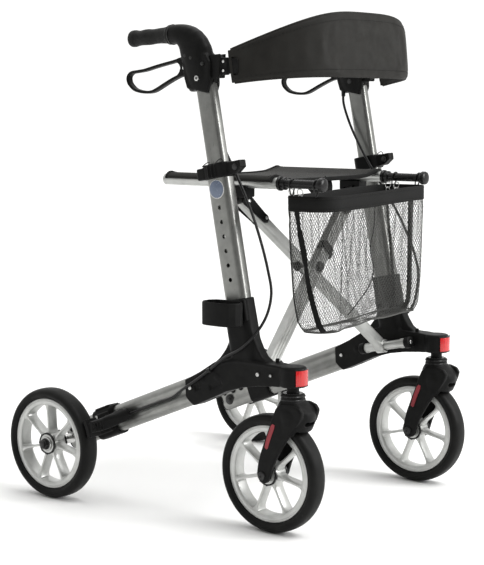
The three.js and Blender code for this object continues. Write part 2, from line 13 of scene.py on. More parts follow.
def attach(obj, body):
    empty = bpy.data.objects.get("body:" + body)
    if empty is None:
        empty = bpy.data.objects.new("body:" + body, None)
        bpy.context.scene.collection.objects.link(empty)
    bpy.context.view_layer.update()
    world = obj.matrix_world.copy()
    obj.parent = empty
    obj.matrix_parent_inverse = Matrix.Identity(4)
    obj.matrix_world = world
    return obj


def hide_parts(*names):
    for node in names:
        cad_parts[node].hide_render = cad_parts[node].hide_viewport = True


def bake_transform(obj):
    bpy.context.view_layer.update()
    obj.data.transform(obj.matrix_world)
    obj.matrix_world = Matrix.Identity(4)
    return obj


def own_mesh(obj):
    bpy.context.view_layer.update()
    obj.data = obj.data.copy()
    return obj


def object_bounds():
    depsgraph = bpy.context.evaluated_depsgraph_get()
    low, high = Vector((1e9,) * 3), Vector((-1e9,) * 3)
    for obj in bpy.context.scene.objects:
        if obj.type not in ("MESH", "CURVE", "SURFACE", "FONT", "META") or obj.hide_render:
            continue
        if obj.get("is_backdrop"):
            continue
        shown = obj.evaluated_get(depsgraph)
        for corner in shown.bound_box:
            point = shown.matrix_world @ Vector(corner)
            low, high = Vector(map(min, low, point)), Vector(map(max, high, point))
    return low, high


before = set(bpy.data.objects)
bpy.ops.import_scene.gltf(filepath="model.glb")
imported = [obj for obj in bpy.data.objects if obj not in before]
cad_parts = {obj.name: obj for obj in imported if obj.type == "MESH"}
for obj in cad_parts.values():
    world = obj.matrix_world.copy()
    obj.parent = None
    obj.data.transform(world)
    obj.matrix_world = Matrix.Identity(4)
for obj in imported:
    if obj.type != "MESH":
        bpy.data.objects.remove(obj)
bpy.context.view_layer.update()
MM = 0.001
scene = bpy.context.scene

# ---------------------------------------------------------------- camera
camera_data = bpy.data.cameras.new("camera")
camera = bpy.data.objects.new("camera", camera_data)
scene.collection.objects.link(camera)
camera.location = (1.7115, -2.1426, 0.7091)
camera.rotation_mode = "QUATERNION"
camera.rotation_quaternion = (Vector((0, -0.0259, 0.3837)) - camera.location).to_track_quat("-Z", "Y")
camera_data.lens = 95.04
camera_data.sensor_width = 36
camera_data.clip_start, camera_data.clip_end = 0.05, 50
scene.camera = camera

# ---------------------------------------------------------------- geometry helpers
X, Y, Z = np.eye(3)
SIDES = {"right": -1, "left": 1}
YU = 222.0
LEAN = math.radians(11)
U = np.array([-math.sin(LEAN), 0, math.cos(LEAN)])      # up along the upright
N = np.array([math.cos(LEAN), 0, math.sin(LEAN)])       # forward, square to it
TUBE = math.radians(22.3)
TD = np.array([math.cos(TUBE), 0, math.sin(TUBE)])      # forward along the lower tube
TN = np.array([-math.sin(TUBE), 0, math.cos(TUBE)])
TC = np.array([-34.5, -YU, 183.0])
PLANE = math.radians(12.3)
BN = np.array([math.cos(PLANE), 0, math.sin(PLANE)])    # normal of the brace plane
BU = np.array([-math.sin(PLANE), 0, math.cos(PLANE)])
SEAT_Y, SEAT_Z, SEAT_R = 156.0, 577.0, 10.0
STEM_X, WHEEL_Z = 266.0, 100.0
REAR, FRONT = np.array([-224.0, -294.0]), np.array([224.0, -222.0])


def on_upright(s, y=-YU):
    return np.array([152 + U[0] * s, y, 382 + U[2] * s])


def unit(v):
    v = np.asarray(v, float)
    return v / np.linalg.norm(v)


def side_of(d):
    e1 = unit(np.cross(Z if abs(d[2]) < 0.9 else X, d))
    return e1, np.cross(d, e1)


def circle(r, n=32, b=None, power=1.0):
    a = np.arange(n) * 2 * math.pi / n
    c, s = np.cos(a), np.sin(a)
    return np.stack([np.sign(c) * np.abs(c) ** power * r,
        np.sign(s) * np.abs(s) ** power * (r if b is None else b)], 1)


def rrect(w, h, r, seg=5):
    out = []
    cx, cy = w / 2 - r, h / 2 - r
    for sx, sy, a0 in ((1, 1, 0), (-1, 1, 90), (-1, -1, 180), (1, -1, 270)):
        for i in range(seg + 1):
            a = math.radians(a0 + 90 * i / seg)
            out.append((sx * cx + r * math.cos(a), sy * cy + r * math.sin(a)))
    return np.array(out)


def put(ring, o, e1, e2):
    ring = np.asarray(ring, float)
    return np.asarray(o, float) + ring[:, :1] * np.asarray(e1, float) + ring[:, 1:2] * np.asarray(e2, float)


def spline(points, step=None, n=None, closed=False):
    """Centripetal Catmull-Rom through the points, evenly spaced."""
    p = np.asarray(points, float)
    ends = (p[-1], p, p[0], p[1]) if closed else (2 * p[0] - p[1], p, 2 * p[-1] - p[-2])
    p = np.vstack(ends)
    out = []
    for i in range(1, len(p) - 2):
        a, b, c, d = p[i - 1:i + 3]
        t1 = np.linalg.norm(b - a) ** 0.5
        t2 = t1 + np.linalg.norm(c - b) ** 0.5
        t3 = t2 + np.linalg.norm(d - c) ** 0.5
        for t in np.linspace(t1, t2, 24, endpoint=False):
            a1 = (t1 - t) / t1 * a + t / t1 * b
            a2 = (t2 - t) / (t2 - t1) * b + (t - t1) / (t2 - t1) * c
            a3 = (t3 - t) / (t3 - t2) * c + (t - t2) / (t3 - t2) * d
            b1 = (t2 - t) / t2 * a1 + t / t2 * a2
            b2 = (t3 - t) / (t3 - t1) * a2 + (t - t1) / (t3 - t1) * a3
            out.append((t2 - t) / (t2 - t1) * b1 + (t - t1) / (t2 - t1) * b2)
    out.append(p[-2])
    out = np.array(out)
    run = np.concatenate([[0], np.cumsum(np.linalg.norm(np.diff(out, axis=0), axis=1))])
    n = n or max(4, int(run[-1] / step))
    at = np.linspace(0, run[-1], n)
    return np.stack([np.interp(at, run, out[:, k]) for k in range(3)], 1)


class Shape:
    """A mesh made from several closed shells."""

    def __init__(self):
        self.v, self.f = [], []

    def add(self, verts, faces):
        k = len(self.v)
        self.v += [tuple(p) for p in verts]
        self.f += [tuple(k + i for i in f) for f in faces]
        return self

    def skin(self, rings, loop=False, caps=True):
        n, m = len(rings[0]), len(rings)
        faces = []
        for i in range(m if loop else m - 1):
            a, b = i * n, ((i + 1) % m) * n
            faces += [(a + j, a + (j + 1) % n, b + (j + 1) % n, b + j) for j in range(n)]
        if not loop and caps:
            faces += [tuple(range(n))[::-1], tuple((m - 1) * n + j for j in range(n))]
        return self.add(np.vstack(rings), faces)

    def prism(self, outline, o, e1, e2, t0, t1, chamfer=0.0):
        """Solid of an outline in the plane e1, e2, from t0 to t1 along their normal, edges eased."""
        outline = np.asarray(outline, float)
        e3 = np.cross(e1, e2)
        c = outline.mean(0)
        size = np.abs(outline - c).max()
        small = c + (outline - c) * (1 - chamfer / max(size, 1e-6))
        levels = [(outline, t0), (outline, t1)]
        if chamfer:
            levels = [(small, t0), (outline, t0 + chamfer), (outline, t1 - chamfer), (small, t1)]
        return self.skin([put(r, np.asarray(o) + e3 * t, e1, e2) for r, t in levels])

    def rod(self, a, b, r, n=24, chamfer=0.0, r2=None):
        a, b = np.asarray(a, float), np.asarray(b, float)
        d = unit(b - a)
        e1, e2 = side_of(d)
        r2 = r if r2 is None else r2
        length = np.linalg.norm(b - a)
        levels = [(r, 0), (r2, length)]
        if chamfer:
            edge = 0.3 * chamfer
            levels = [(r - chamfer, 0), (r - edge, edge), (r, chamfer)]
            levels += [(r2, length - chamfer), (r2 - edge, length - edge), (r2 - chamfer, length)]
        return self.skin([put(circle(q, n), a + d * t, e1, e2) for q, t in levels])

    def turn(self, profile, o, d, n=96):
        e1, e2 = side_of(np.asarray(d, float))
        rings = []
        for i in range(n):
            a = 2 * math.pi * i / n
            e = e1 * math.cos(a) + e2 * math.sin(a)
            rings.append(np.array([np.asarray(o) + e * r + np.asarray(d) * t for r, t in profile]))
        return self.skin(rings, loop=True)

    def sweep(self, path, ring, up=None, caps=True, closed=False):
        """A ring (or a function of the share along) carried along a path without twist."""
        path = np.asarray(path, float)
        if closed:
            t = np.roll(path, -1, 0) - np.roll(path, 1, 0)
        else:
            t = np.gradient(path, axis=0)
        t /= np.linalg.norm(t, axis=1)[:, None]
        e1 = side_of(t[0])[0] if up is None else unit(np.cross(t[0], up))
        rings = []
        for i, p in enumerate(path):
            e1 = unit(np.cross(t[i], up)) if up is not None else unit(e1 - t[i] * (e1 @ t[i]))
            e2 = np.cross(e1, t[i])
            r = ring(i / (len(path) - 1)) if callable(ring) else ring
            rings.append(put(r, p, e1, e2))
        return self.skin(rings, loop=closed, caps=caps)

    def sphere(self, c, r, squash=1.0, axis=Z, n=16):
        prof = [(r * math.sin(a), -squash * r * math.cos(a)) for a in np.linspace(0.02, math.pi - 0.02, n)]
        e1, e2 = side_of(np.asarray(axis, float))
        return self.skin([put(circle(q, 2 * n), np.asarray(c) + np.asarray(axis) * t, e1, e2) for q, t in prof])

    def box(self, x0, x1, y0, y1, z0, z1, chamfer=0.0):
        return self.prism([(x0, y0), (x1, y0), (x1, y1), (x0, y1)], (0, 0, 0), X, Y, z0, z1, chamfer)

    def along_upright(self, outline, s0, s1, chamfer=0.0):
        """Prism of an [N, Y] outline between two places on the right upright."""
        return self.prism(outline, on_upright(0), N, Y, s0, s1, chamfer)

    def along_tube(self, outline, d0, d1, chamfer=0.0):
        """Prism of a [Y, TN] outline between two places on the right lower tube."""
        return self.prism(outline, TC, Y, TN, d0, d1, chamfer)

    def plate(self, outline, a, b, chamfer=0.0):
        """Prism of an [X, Z] outline, from a to b outwards of the right frame's middle plane."""
        return self.prism(outline, (0, 0, 0), X, Z, YU + a, YU + b, chamfer)

    def stud(self, x, z, y0, y1, r, n=24, chamfer=0.0):
        """Rod along Y at x, z; y0 and y1 count from the right frame's middle plane."""
        return self.rod((x, -YU + y0, z), (x, -YU + y1, z), r, n, chamfer)

    def mirrored(self):
        out = Shape()
        out.v = [(x, -y, z) for x, y, z in self.v]
        out.f = [f[::-1] for f in self.f]
        return out


def mesh_of(shape, name, sharp=32):
    me = bpy.data.meshes.new(name)
    me.from_pydata((np.array(shape.v) * MM).tolist(), [], shape.f)
    bm = bmesh.new()
    bm.from_mesh(me)
    bmesh.ops.recalc_face_normals(bm, faces=bm.faces)
    bm.to_mesh(me)
    bm.free()
    me.shade_smooth()
    me.set_sharp_from_angle(angle=math.radians(sharp))
    return me


def placed(name, data):
    ob = bpy.data.objects.new(name, data)
    scene.collection.objects.link(ob)
    return ob


def link(me, name, look, body=None, replaces=(), slot=...):
    """A piece of the object, placed with its look's material, on a body if one is given, with the CAD parts it
    replaces hidden; a slot is worked out from its look unless one is given, but it is not stored.
    """
    ob = placed(name, me)
    ob.data.materials.append(M[look])
    if body:
        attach(ob, body)
    if slot is ...:
        slot = SLOTS.get(look)
    if replaces:
        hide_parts(*replaces)
    return ob


def baked(ob):
    """The object's mesh with its modifiers applied."""
    dg = bpy.context.evaluated_depsgraph_get()
    me = bpy.data.meshes.new_from_object(ob.evaluated_get(dg))
    ob.modifiers.clear()
    ob.data = me
    return me


def moulded(shape, name, voxel=1.4, smooth=6, carve=None, keep=1.0):
    """Shells fused and rounded off like one plastic moulding; carve is taken out of it first."""
    ob = placed(name, mesh_of(shape, name))
    if carve:
        tool = placed(name + "_tool", mesh_of(carve, name + "_tool"))
        first = ob.modifiers.new("fuse", "REMESH")
        first.mode, first.voxel_size = "VOXEL", voxel * MM
        cut = ob.modifiers.new("carve", "BOOLEAN")
        cut.operation, cut.object, cut.solver = "DIFFERENCE", tool, "EXACT"
    fuse = ob.modifiers.new("round", "REMESH")
    fuse.mode, fuse.voxel_size = "VOXEL", voxel * MM
    ease = ob.modifiers.new("ease", "SMOOTH")
    ease.factor, ease.iterations = 0.5, smooth
    if keep < 1:
        thin = ob.modifiers.new("thin", "DECIMATE")
        thin.ratio = keep
    me = baked(ob)
    me.shade_smooth()
    bpy.data.objects.remove(ob)
    if carve:
        bpy.data.objects.remove(tool)
    return me


def flipped(me, name):
    twin = me.copy()
    twin.name = name
    twin.transform(Matrix.Scale(-1, 4, Vector((0, 1, 0))))
    twin.flip_normals()
    return twin


def pair(name, made, look, body, replaces=(), sharp=32, slot=...):
    """The piece on the right side and its mirror on the left; the side is added to every name."""
    me = mesh_of(made, name, sharp) if isinstance(made, Shape) else made
    for side in SIDES:
        m = me if side == "right" else flipped(me, name + "_left")
        link(m, f"{name}_{side}", look, f"{body}_{side}", [f"{n}_{side}" for n in replaces], slot)


def cast(name, shape, voxel, smooth, body, carve=None, keep=1.0):
    """A pair of black mouldings that take the place of the CAD parts of that name."""
    pair(name + "_moulded", moulded(shape, name, voxel, smooth, carve, keep), "black", body, [name])


# ---------------------------------------------------------------- materials
SLOTS = {
    "alu": "aluminium", "alu_low": "aluminium", "alu_bright": "aluminium", "black": "black_plastic",
    "gloss": "black_plastic", "rubber": "grip_rubber", "tyre": "tyre", "rim": "rim", "steel": "steel",
    "dark_steel": "steel", "red": "reflector",
}


def node_tree(name):
    mat = bpy.data.materials.new(name)
    mat.use_nodes = True
    nt = mat.node_tree
    shader = nt.nodes["Principled BSDF"]
    coords = nt.nodes.new("ShaderNodeTexCoord")
    return mat, nt, shader, coords.outputs["Object"]


def noise(nt, at, scale, detail=3.0, stretch=None):
    """A noise factor in object space; scale is per metre, and stretch squeezes it along each axis."""
    if stretch:
        m = nt.nodes.new("ShaderNodeMapping")
        m.inputs["Scale"].default_value = stretch
        nt.links.new(at, m.inputs["Vector"])
        at = m.outputs["Vector"]
    n = nt.nodes.new("ShaderNodeTexNoise")
    preset(n, Scale=scale, Detail=detail)
    nt.links.new(at, n.inputs["Vector"])
    return n.outputs["Fac"]


def ramp(nt, fac, stops):
    r = nt.nodes.new("ShaderNodeValToRGB")
    while len(r.color_ramp.elements) < len(stops):
        r.color_ramp.elements.new(0.5)
    for e, (p, c) in zip(r.color_ramp.elements, stops):
        e.position = p
        e.color = (*c, 1) if hasattr(c, "__len__") else (c, c, c, 1)
    nt.links.new(fac, r.inputs["Fac"])
    return r.outputs["Color"]


def maths(nt, op, a, b=0.0, clamp=False):
    m = nt.nodes.new("ShaderNodeMath")
    m.operation, m.use_clamp = op, clamp
    for i, v in enumerate((a, b)):
        if isinstance(v, (int, float)):
            m.inputs[i].default_value = v
        else:
            nt.links.new(v, m.inputs[i])
    return m.outputs[0]


def blend_colour(nt, fac, a, b, mode="MIX"):
    m = nt.nodes.new("ShaderNodeMix")
    m.data_type, m.blend_type = "RGBA", mode
    for key, v in (("Factor", fac), ("A", a), ("B", b)):
        kind = "VALUE" if key == "Factor" else "RGBA"
        sock = next(s for s in m.inputs if s.name == key and s.type == kind)
        if isinstance(v, (int, float)):
            sock.default_value = v
        elif isinstance(v, tuple):
            sock.default_value = (*v, 1)
        else:
            nt.links.new(v, sock)
    return next(s for s in m.outputs if s.type == "RGBA")


def preset(node, **values):
    """Sets input sockets; an underscore in a name stands for a space."""
    for key, value in values.items():
        node.inputs[key.replace("_", " ")].default_value = value


def bump(nt, shader, height, strength, distance):
    b = nt.nodes.new("ShaderNodeBump")
    preset(b, Strength=strength, Distance=distance)
    nt.links.new(height, b.inputs["Height"])
    nt.links.new(b.outputs["Normal"], shader.inputs["Normal"])


def plain(name, low, high, rough, scale=60, metallic=0.0, grain=900, grain_strength=0.1, grain_depth=0.0002,
          stretch=None, coat=0.0, sheen=0.0, wear=None, dust=None, specular=0.5):
    """A moulded or metal finish: slow colour variation, fine grain, uneven gloss and worn edges."""
    mat, nt, sh, at = node_tree(name)
    colour = ramp(nt, noise(nt, at, scale, 4), [(0.3, low), (0.7, high)])
    if dust:
        colour = blend_colour(nt, ramp(nt, noise(nt, at, 34, 6), [(0.52, 0.0), (0.8, 0.5)]), colour, dust)
    if wear:
        geo = nt.nodes.new("ShaderNodeNewGeometry")
        edge = ramp(nt, geo.outputs["Pointiness"], [(0.53, 0.0), (0.6, 1.0)])
        patch = ramp(nt, noise(nt, at, 150, 5), [(0.42, 0.0), (0.66, 1.0)])
        colour = blend_colour(nt, maths(nt, "MULTIPLY", edge, patch), colour, wear)
    nt.links.new(colour, sh.inputs["Base Color"])
    lo, hi = rough
    nt.links.new(ramp(nt, noise(nt, at, scale * 2.3, 5, stretch), [(0.25, lo), (0.75, hi)]), sh.inputs["Roughness"])
    bump(nt, sh, noise(nt, at, grain, 2, stretch), grain_strength, grain_depth)
    preset(sh, Metallic=metallic, Coat_Weight=coat, Sheen_Weight=sheen, Specular_IOR_Level=specular)
    return mat


def woven(name, dark, light, pitch, rough, strength=0.5, sheen=0.25, across=(1, 0, 0), along=(0, 1, 0)):
    """Plain weave: crossing threads as colour and relief, with slow shade changes."""
    mat, nt, sh, at = node_tree(name)
    waves = []
    for d in (across, along):
        dot = nt.nodes.new("ShaderNodeVectorMath")
        dot.operation = "DOT_PRODUCT"
        dot.inputs[1].default_value = d
        nt.links.new(at, dot.inputs[0])
        waves.append(maths(nt, "SINE", maths(nt, "MULTIPLY", dot.outputs["Value"], 2 * math.pi / pitch)))
    weave = maths(nt, "ADD", maths(nt, "MULTIPLY", maths(nt, "MULTIPLY", waves[0], waves[1]), 0.5), 0.5)
    slow = noise(nt, at, 22, 4)
    fuzz = noise(nt, at, 2600, 2)
    shade = maths(nt, "ADD", maths(nt, "MULTIPLY", weave, 0.5),
        maths(nt, "ADD", maths(nt, "MULTIPLY", slow, 0.35), maths(nt, "MULTIPLY", fuzz, 0.3)))
    nt.links.new(ramp(nt, shade, [(0.25, dark), (0.85, light)]), sh.inputs["Base Color"])
    nt.links.new(ramp(nt, weave, [(0.0, rough[0]), (1.0, rough[1])]), sh.inputs["Roughness"])
    bump(nt, sh, maths(nt, "ADD", weave, maths(nt, "MULTIPLY", fuzz, 0.4)), strength, 0.0004)
    preset(sh, Sheen_Weight=sheen, Sheen_Roughness=0.5, Specular_IOR_Level=0.14)
    return mat


def prismatic(name):
    """Reflector: clear red plastic over a field of small prisms."""
    mat, nt, sh, at = node_tree(name)
    cells = nt.nodes.new("ShaderNodeTexVoronoi")
    preset(cells, Scale=480, Randomness=0.15)
    nt.links.new(at, cells.inputs["Vector"])
    d = cells.outputs["Distance"]
    nt.links.new(ramp(nt, d, [(0.1, (0.7, 0.012, 0.012)), (0.55, (0.44, 0.003, 0.005))]), sh.inputs["Base Color"])
    bump(nt, sh, d, 0.5, 0.0006)
    preset(sh, Roughness=0.2, Coat_Weight=0.35, Coat_Roughness=0.06)
    return mat


BRUSH_UP, BRUSH_TUBE = (6, 6, 0.25), (0.3, 6, 1.6)
M = {
    "alu": plain("satin_aluminium", (0.20, 0.202, 0.193), (0.25, 0.252, 0.24), (0.26, 0.4), metallic=0.9, grain=700,
        grain_strength=0.06, grain_depth=0.0001, stretch=BRUSH_UP),
    "alu_low": plain("satin_aluminium_lower", (0.23, 0.232, 0.222), (0.29, 0.292, 0.28), (0.28, 0.42),
        metallic=0.88, grain=700, grain_strength=0.06, grain_depth=0.0001, stretch=BRUSH_TUBE),
    "alu_bright": plain("bright_aluminium", (0.42, 0.425, 0.41), (0.5, 0.505, 0.49), (0.3, 0.4), metallic=0.8,
        grain=800, grain_strength=0.02, grain_depth=0.00005),
    "black": plain("black_plastic", (0.0045, 0.0045, 0.0045), (0.008, 0.008, 0.0077), (0.4, 0.54), grain=1500,
        grain_strength=0.22, grain_depth=0.00012, wear=(0.018, 0.018, 0.017), specular=0.1),
    "gloss": plain("black_gloss", (0.004, 0.004, 0.004), (0.007, 0.007, 0.007), (0.2, 0.32), grain=600,
        grain_strength=0.05, wear=(0.02, 0.02, 0.02), specular=0.24),
    "rubber": plain("grip_rubber", (0.0065, 0.0065, 0.0062), (0.012, 0.012, 0.0113), (0.5, 0.66), grain=1800,
        grain_strength=0.35, grain_depth=0.0002, sheen=0.03, wear=(0.026, 0.026, 0.024), specular=0.14),
    "tyre": plain("tyre_rubber", (0.005, 0.005, 0.0048), (0.0095, 0.0095, 0.009), (0.4, 0.58), scale=26, grain=1300,
        grain_strength=0.25, grain_depth=0.0002, dust=(0.015, 0.0146, 0.0134), specular=0.12),
    "rim": plain("silver_rim", (0.46, 0.465, 0.45), (0.55, 0.555, 0.54), (0.32, 0.42), metallic=0.62, grain=1400,
        grain_strength=0.02, grain_depth=0.00005, coat=0.1),
    "steel": plain("zinc_steel", (0.5, 0.5, 0.49), (0.66, 0.66, 0.65), (0.2, 0.38), metallic=1.0, grain=900,
        grain_strength=0.06),
    "dark_steel": plain("black_bolt", (0.02, 0.02, 0.02), (0.04, 0.04, 0.04), (0.25, 0.4), metallic=0.6, grain=900,
        grain_strength=0.08),
    "stripe": plain("red_inlay", (0.20, 0.006, 0.014), (0.27, 0.01, 0.02), (0.34, 0.45), grain=1200,
        grain_strength=0.12),
    "badge": plain("plain_badge", (0.10, 0.13, 0.19), (0.13, 0.16, 0.23), (0.2, 0.3), metallic=0.3, grain=300,
        grain_strength=0.03, coat=0.5),
    "red": prismatic("red_reflector"),
    "seat": woven("seat_weave", (0.009, 0.0087, 0.008), (0.03, 0.029, 0.026), 0.0022, (0.62, 0.85), 0.6, 0.04),
    "hem": woven("hem_webbing", (0.0045, 0.0045, 0.0045), (0.012, 0.012, 0.0116), 0.0016, (0.6, 0.8), 0.5, 0.0,
        (1, 0, 0), (0, 0.6, 0.8)),
    "back": plain("backrest_cover", (0.0145, 0.0138, 0.0124), (0.02, 0.0192, 0.0172), (0.55, 0.7), scale=30,
        grain=1500, grain_strength=0.4, grain_depth=0.0002, specular=0.13),
    "net": woven("net_thread", (0.035, 0.035, 0.033), (0.11, 0.11, 0.104), 0.0009, (0.6, 0.8), 0.3, 0.1),
    "cable": plain("cable_sheath", (0.004, 0.004, 0.004), (0.008, 0.008, 0.008), (0.3, 0.42), grain=1200,
        grain_strength=0.08, specular=0.3),
}


def carved(shape, tool, name, sharp=32):
    """A shape with another cut out of it, edges kept."""
    a, b = placed(name, mesh_of(shape, name)), placed(name + "_tool", mesh_of(tool, name + "_tool"))
    cut = a.modifiers.new("cut", "BOOLEAN")
    cut.operation, cut.object, cut.solver, cut.use_self = "DIFFERENCE", b, "EXACT", True
    me = baked(a)
    bpy.data.objects.remove(a)
    bpy.data.objects.remove(b)
    me.shade_smooth()
    me.set_sharp_from_angle(angle=math.radians(sharp))
    return me


# ---------------------------------------------------------------- wheels
def mirrored_profile(half):
    """Closed [radius, offset] loop from the half at negative offsets."""
    return half + [(r, -t) for r, t in half[::-1] if t]


TREAD = mirrored_profile([(81.9, -12.4), (83.2, -13.4), (84.2, -15.2), (85.6, -15.4), (86.6, -16.9), (89.2, -17.8),
    (92.2, -17.9), (94.9, -16.8), (97.2, -14.4), (98.8, -11.2), (99.6, -7.6), (99.95, -3.4)])
RING = mirrored_profile([(81.8, -12.6), (81.2, -13.2), (79.6, -13.4), (78.9, -12.7), (78.3, -12.7), (77.4, -13.4),
    (72.2, -13.2), (71.0, -12.2), (70.6, -10.4), (70.2, -5), (70.0, 0)])
SPOKES = 7


def wheel(cx, cy):
    o = np.array([cx, cy, WHEEL_Z])
    tyre = Shape().turn(TREAD, o, Y, 128)
    rim = Shape().turn(RING, o, Y, 96)
    boss = [(5.3, -16), (12.5, -16), (12.5, -14.2), (13.6, -14.2), (13.6, -15.6), (16.6, -15.6), (17.6, -14.8),
        (18.4, -12.4), (18.6, 12.4), (17.6, 14.8), (16.6, 15.6), (13.6, 15.6), (13.6, 14.2), (12.5, 14.2),
        (12.5, 16), (5.3, 16)]
    rim.turn(boss, o, Y, 48)
    # each spoke is a fin: thin round the wheel, deep across it, and flared into the hub and the ring
    stations = [(14.5, 15, 24), (18.5, 12, 23.5), (21.5, 7.6, 22.5), (26, 5.2, 21.6), (34, 4.3, 21),
        (52, 4.1, 21.6), (61, 4.5, 22.6), (65.5, 5.8, 23.6), (68.6, 9, 24.6), (71.2, 15.5, 25.4)]
    for k in range(SPOKES):
        a = 2 * math.pi * k / SPOKES + math.pi / 2 + 0.05
        d, t = np.array([math.cos(a), 0, math.sin(a)]), np.array([-math.sin(a), 0, math.cos(a)])
        rings = []
        for r, w, depth in stations:
            rings.append(put(rrect(w, depth, min(w, depth) * 0.3, 2), o + d * r, t, Y))
        rim.skin(rings)
    seal = Shape().turn([(16.7, -13), (19.4, -13), (19.8, -14.4), (19.4, -16.2), (16.7, -16.2)], o, Y, 48)
    seal.turn([(16.7, 13), (19.4, 13), (19.8, 14.4), (19.4, 16.2), (16.7, 16.2)], o, Y, 48)
    for k in range(8):
        a = 2 * math.pi * k / 8
        d = np.array([math.cos(a), 0, math.sin(a)])
        for s in (-1, 1):
            seal.rod(o + d * 18.6 + Y * s * 14, o + d * 18.6 + Y * s * 16.6, 1.9, 8, 0.4)
    return tyre, rim, seal


for end, (cx, cy) in (("rear", REAR), ("front", FRONT)):
    tyre, rim, seal = wheel(cx, cy)
    pair(f"{end}_tyre_moulded", tyre, "tyre", f"{end}_wheel", [f"{end}_tyre"], 50)
    pair(f"{end}_rim_cast", rim, "rim", f"{end}_wheel", [f"{end}_rim"], 38)
    pair(f"{end}_hub_seal", seal, "gloss", f"{end}_wheel")

rear_o = np.array([REAR[0], REAR[1], WHEEL_Z])
axle = Shape().rod(rear_o + Y * (-YU - 12.9 - rear_o[1]), rear_o + Y * 16.3, 9, 32, 0.8)
axle.rod(rear_o + Y * 20, rear_o - Y * 18.4, 5, 24)
axle.turn([(5, -16.2), (12.2, -16.2), (12.2, -18.2), (11.4, -19), (5, -19)], rear_o, Y, 40)
pair("rear_axle_shaft", axle, "steel", "frame", ["rear_axle"])
nut = Shape().prism(circle(9.2, 6), rear_o, X, Z, 18.6, 25.6, 1.0)
nut.rod(rear_o - Y * 25, rear_o - Y * 28.4, 5.6, 20, 1.2)
nut.rod(rear_o - Y * 18.6, rear_o - Y * 20.4, 10.6, 32, 0.5)
pair("rear_axle_nut", nut, "dark_steel", "frame")

front_o = np.array([FRONT[0], FRONT[1], WHEEL_Z])
axle = Shape()
for s in (-1, 1):
    axle.rod(front_o + Y * s * 16.4, front_o + Y * s * 20.4, 8.4, 24, 0.5)
    axle.rod(front_o + Y * s * 28.4, front_o + Y * s * 31.6, 7.2, 24, 1.2)
axle.rod(front_o - Y * 30, front_o + Y * 30, 5, 24)
socket = circle(3.2, 6)
sockets = Shape().prism(socket, front_o, X, Z, 30.4, 34).prism(socket, front_o, X, Z, -34, -30.4)
pair("front_axle_bolt", carved(axle, sockets, "front_axle_bolt"), "dark_steel", "caster", ["front_axle"])

# ---------------------------------------------------------------- caster forks
leg = np.array([(303, 214), (300.5, 205), (296, 196), (288, 184), (275, 168), (262.5, 150), (251.5, 131),
    (243.5, 114), (239.6, 102), (237.5, 94.6), (232.5, 88.6), (225.5, 86.6), (218.5, 88.8), (213.8, 94.6),
    (212.4, 103), (214, 117), (219, 136), (227, 158), (236, 180), (243.5, 200), (249, 216), (257, 224), (283, 226),
    (297, 222)], float)
fork = Shape()
for s in (-1, 1):
    rings = []
    for y, inset in ((20.4, 0.6), (21.4, 0), (26.6, 0), (28.4, 1.4), (29.2, 3.4)):
        c = leg.mean(0)
        d = leg - c
        lim = np.linalg.norm(d, axis=1)[:, None]
        # the outer face draws in above the wheel and stays full at the axle
        rings.append(np.array([(p[0], -YU + s * (y - (2.4 if p[1] > 200 else 0)), p[1])
            for p in c + d * (1 - inset / lim)]))
    fork.skin(rings)
hood = [(172, 268, 22, 27.6), (181, 270.5, 28, 28.2), (192, 272, 32, 28.8), (203, 272.5, 32.6, 29.2),
    (211, 271.5, 31.8, 28.6), (218, 269.5, 28.6, 26.6), (223.5, 267.6, 24.4, 23.6), (227, 266.6, 21, 20.8),
    (229, 266.3, 20, 20)]
fork.skin([put(circle(a, 40, b, 0.92), (x, -YU, z), X, Y) for z, x, a, b in hood])
fork.rod((STEM_X, -YU, 226), (STEM_X, -YU, 239.5), 20, 40, 1.2)
fork.rod((STEM_X, -YU, 236), (STEM_X, -YU, 262), 10.4, 32)
well = Shape().turn([(0.5, -20.5), (103.6, -20.5), (104.6, -19.5), (104.6, 19.5), (103.6, 20.5), (0.5, 20.5)],
    front_o, Y, 96)
well.prism(rrect(26, 7, 3, 4), (296, -YU, 195), Y, unit((0.45, 0, 1)), -26, 26)
cast("caster_fork", fork, 1.2, 7, "caster", well)
stripe = [(242.5, 186.5), (246, 190), (250.5, 188.5), (249.6, 183), (241.5, 163), (236.5, 148), (233.4, 146),
    (229.8, 149.4), (233.6, 163.6)]
inlay = Shape()
for s in (-1, 1):
    inlay.skin([np.array([(p[0], -YU + s * y, p[1]) for p in stripe]) for y in (26.5, 29.1, 29.55)])
pair("fork_inlay", inlay, "stripe", "caster")
trim = Shape().turn([(20.2, 228.4), (20.9, 229.2), (20.9, 230.4), (20.2, 231.2)], (STEM_X, -YU, 0), Z, 48)
trim.turn([(20.2, 234.4), (20.9, 235.2), (20.9, 236.2), (20.2, 237)], (STEM_X, -YU, 0), Z, 48)
trim.turn([(10.4, 239), (16.5, 239), (16.5, 240.6), (10.4, 240.6)], (STEM_X, -YU, 0), Z, 40)
pair("stem_trim", trim, "gloss", "caster")

# ---------------------------------------------------------------- lower side tubes
def tube_at(d, n=0.0, y=0.0):
    return TC + TD * d + TN * n + Y * y


def lobes(w, h, grow=0.0, seg=14):
    """Two rounded lobes stacked, with a groove between them on each face."""
    r, c = w / 2 + grow, h / 2 - w / 2
    out = []
    for mid, a0 in ((c, -38), (-c, 142)):
        out += [(r * math.cos(a), mid + r * math.sin(a)) for a in np.radians(np.linspace(a0, a0 + 256, seg + 1))]
    return np.array(out)


def across(d, n, y0, y1):
    """Two points either side of a place on the lower tube, for a rod along Y."""
    return tube_at(d, n) + Y * y0, tube_at(d, n) + Y * y1


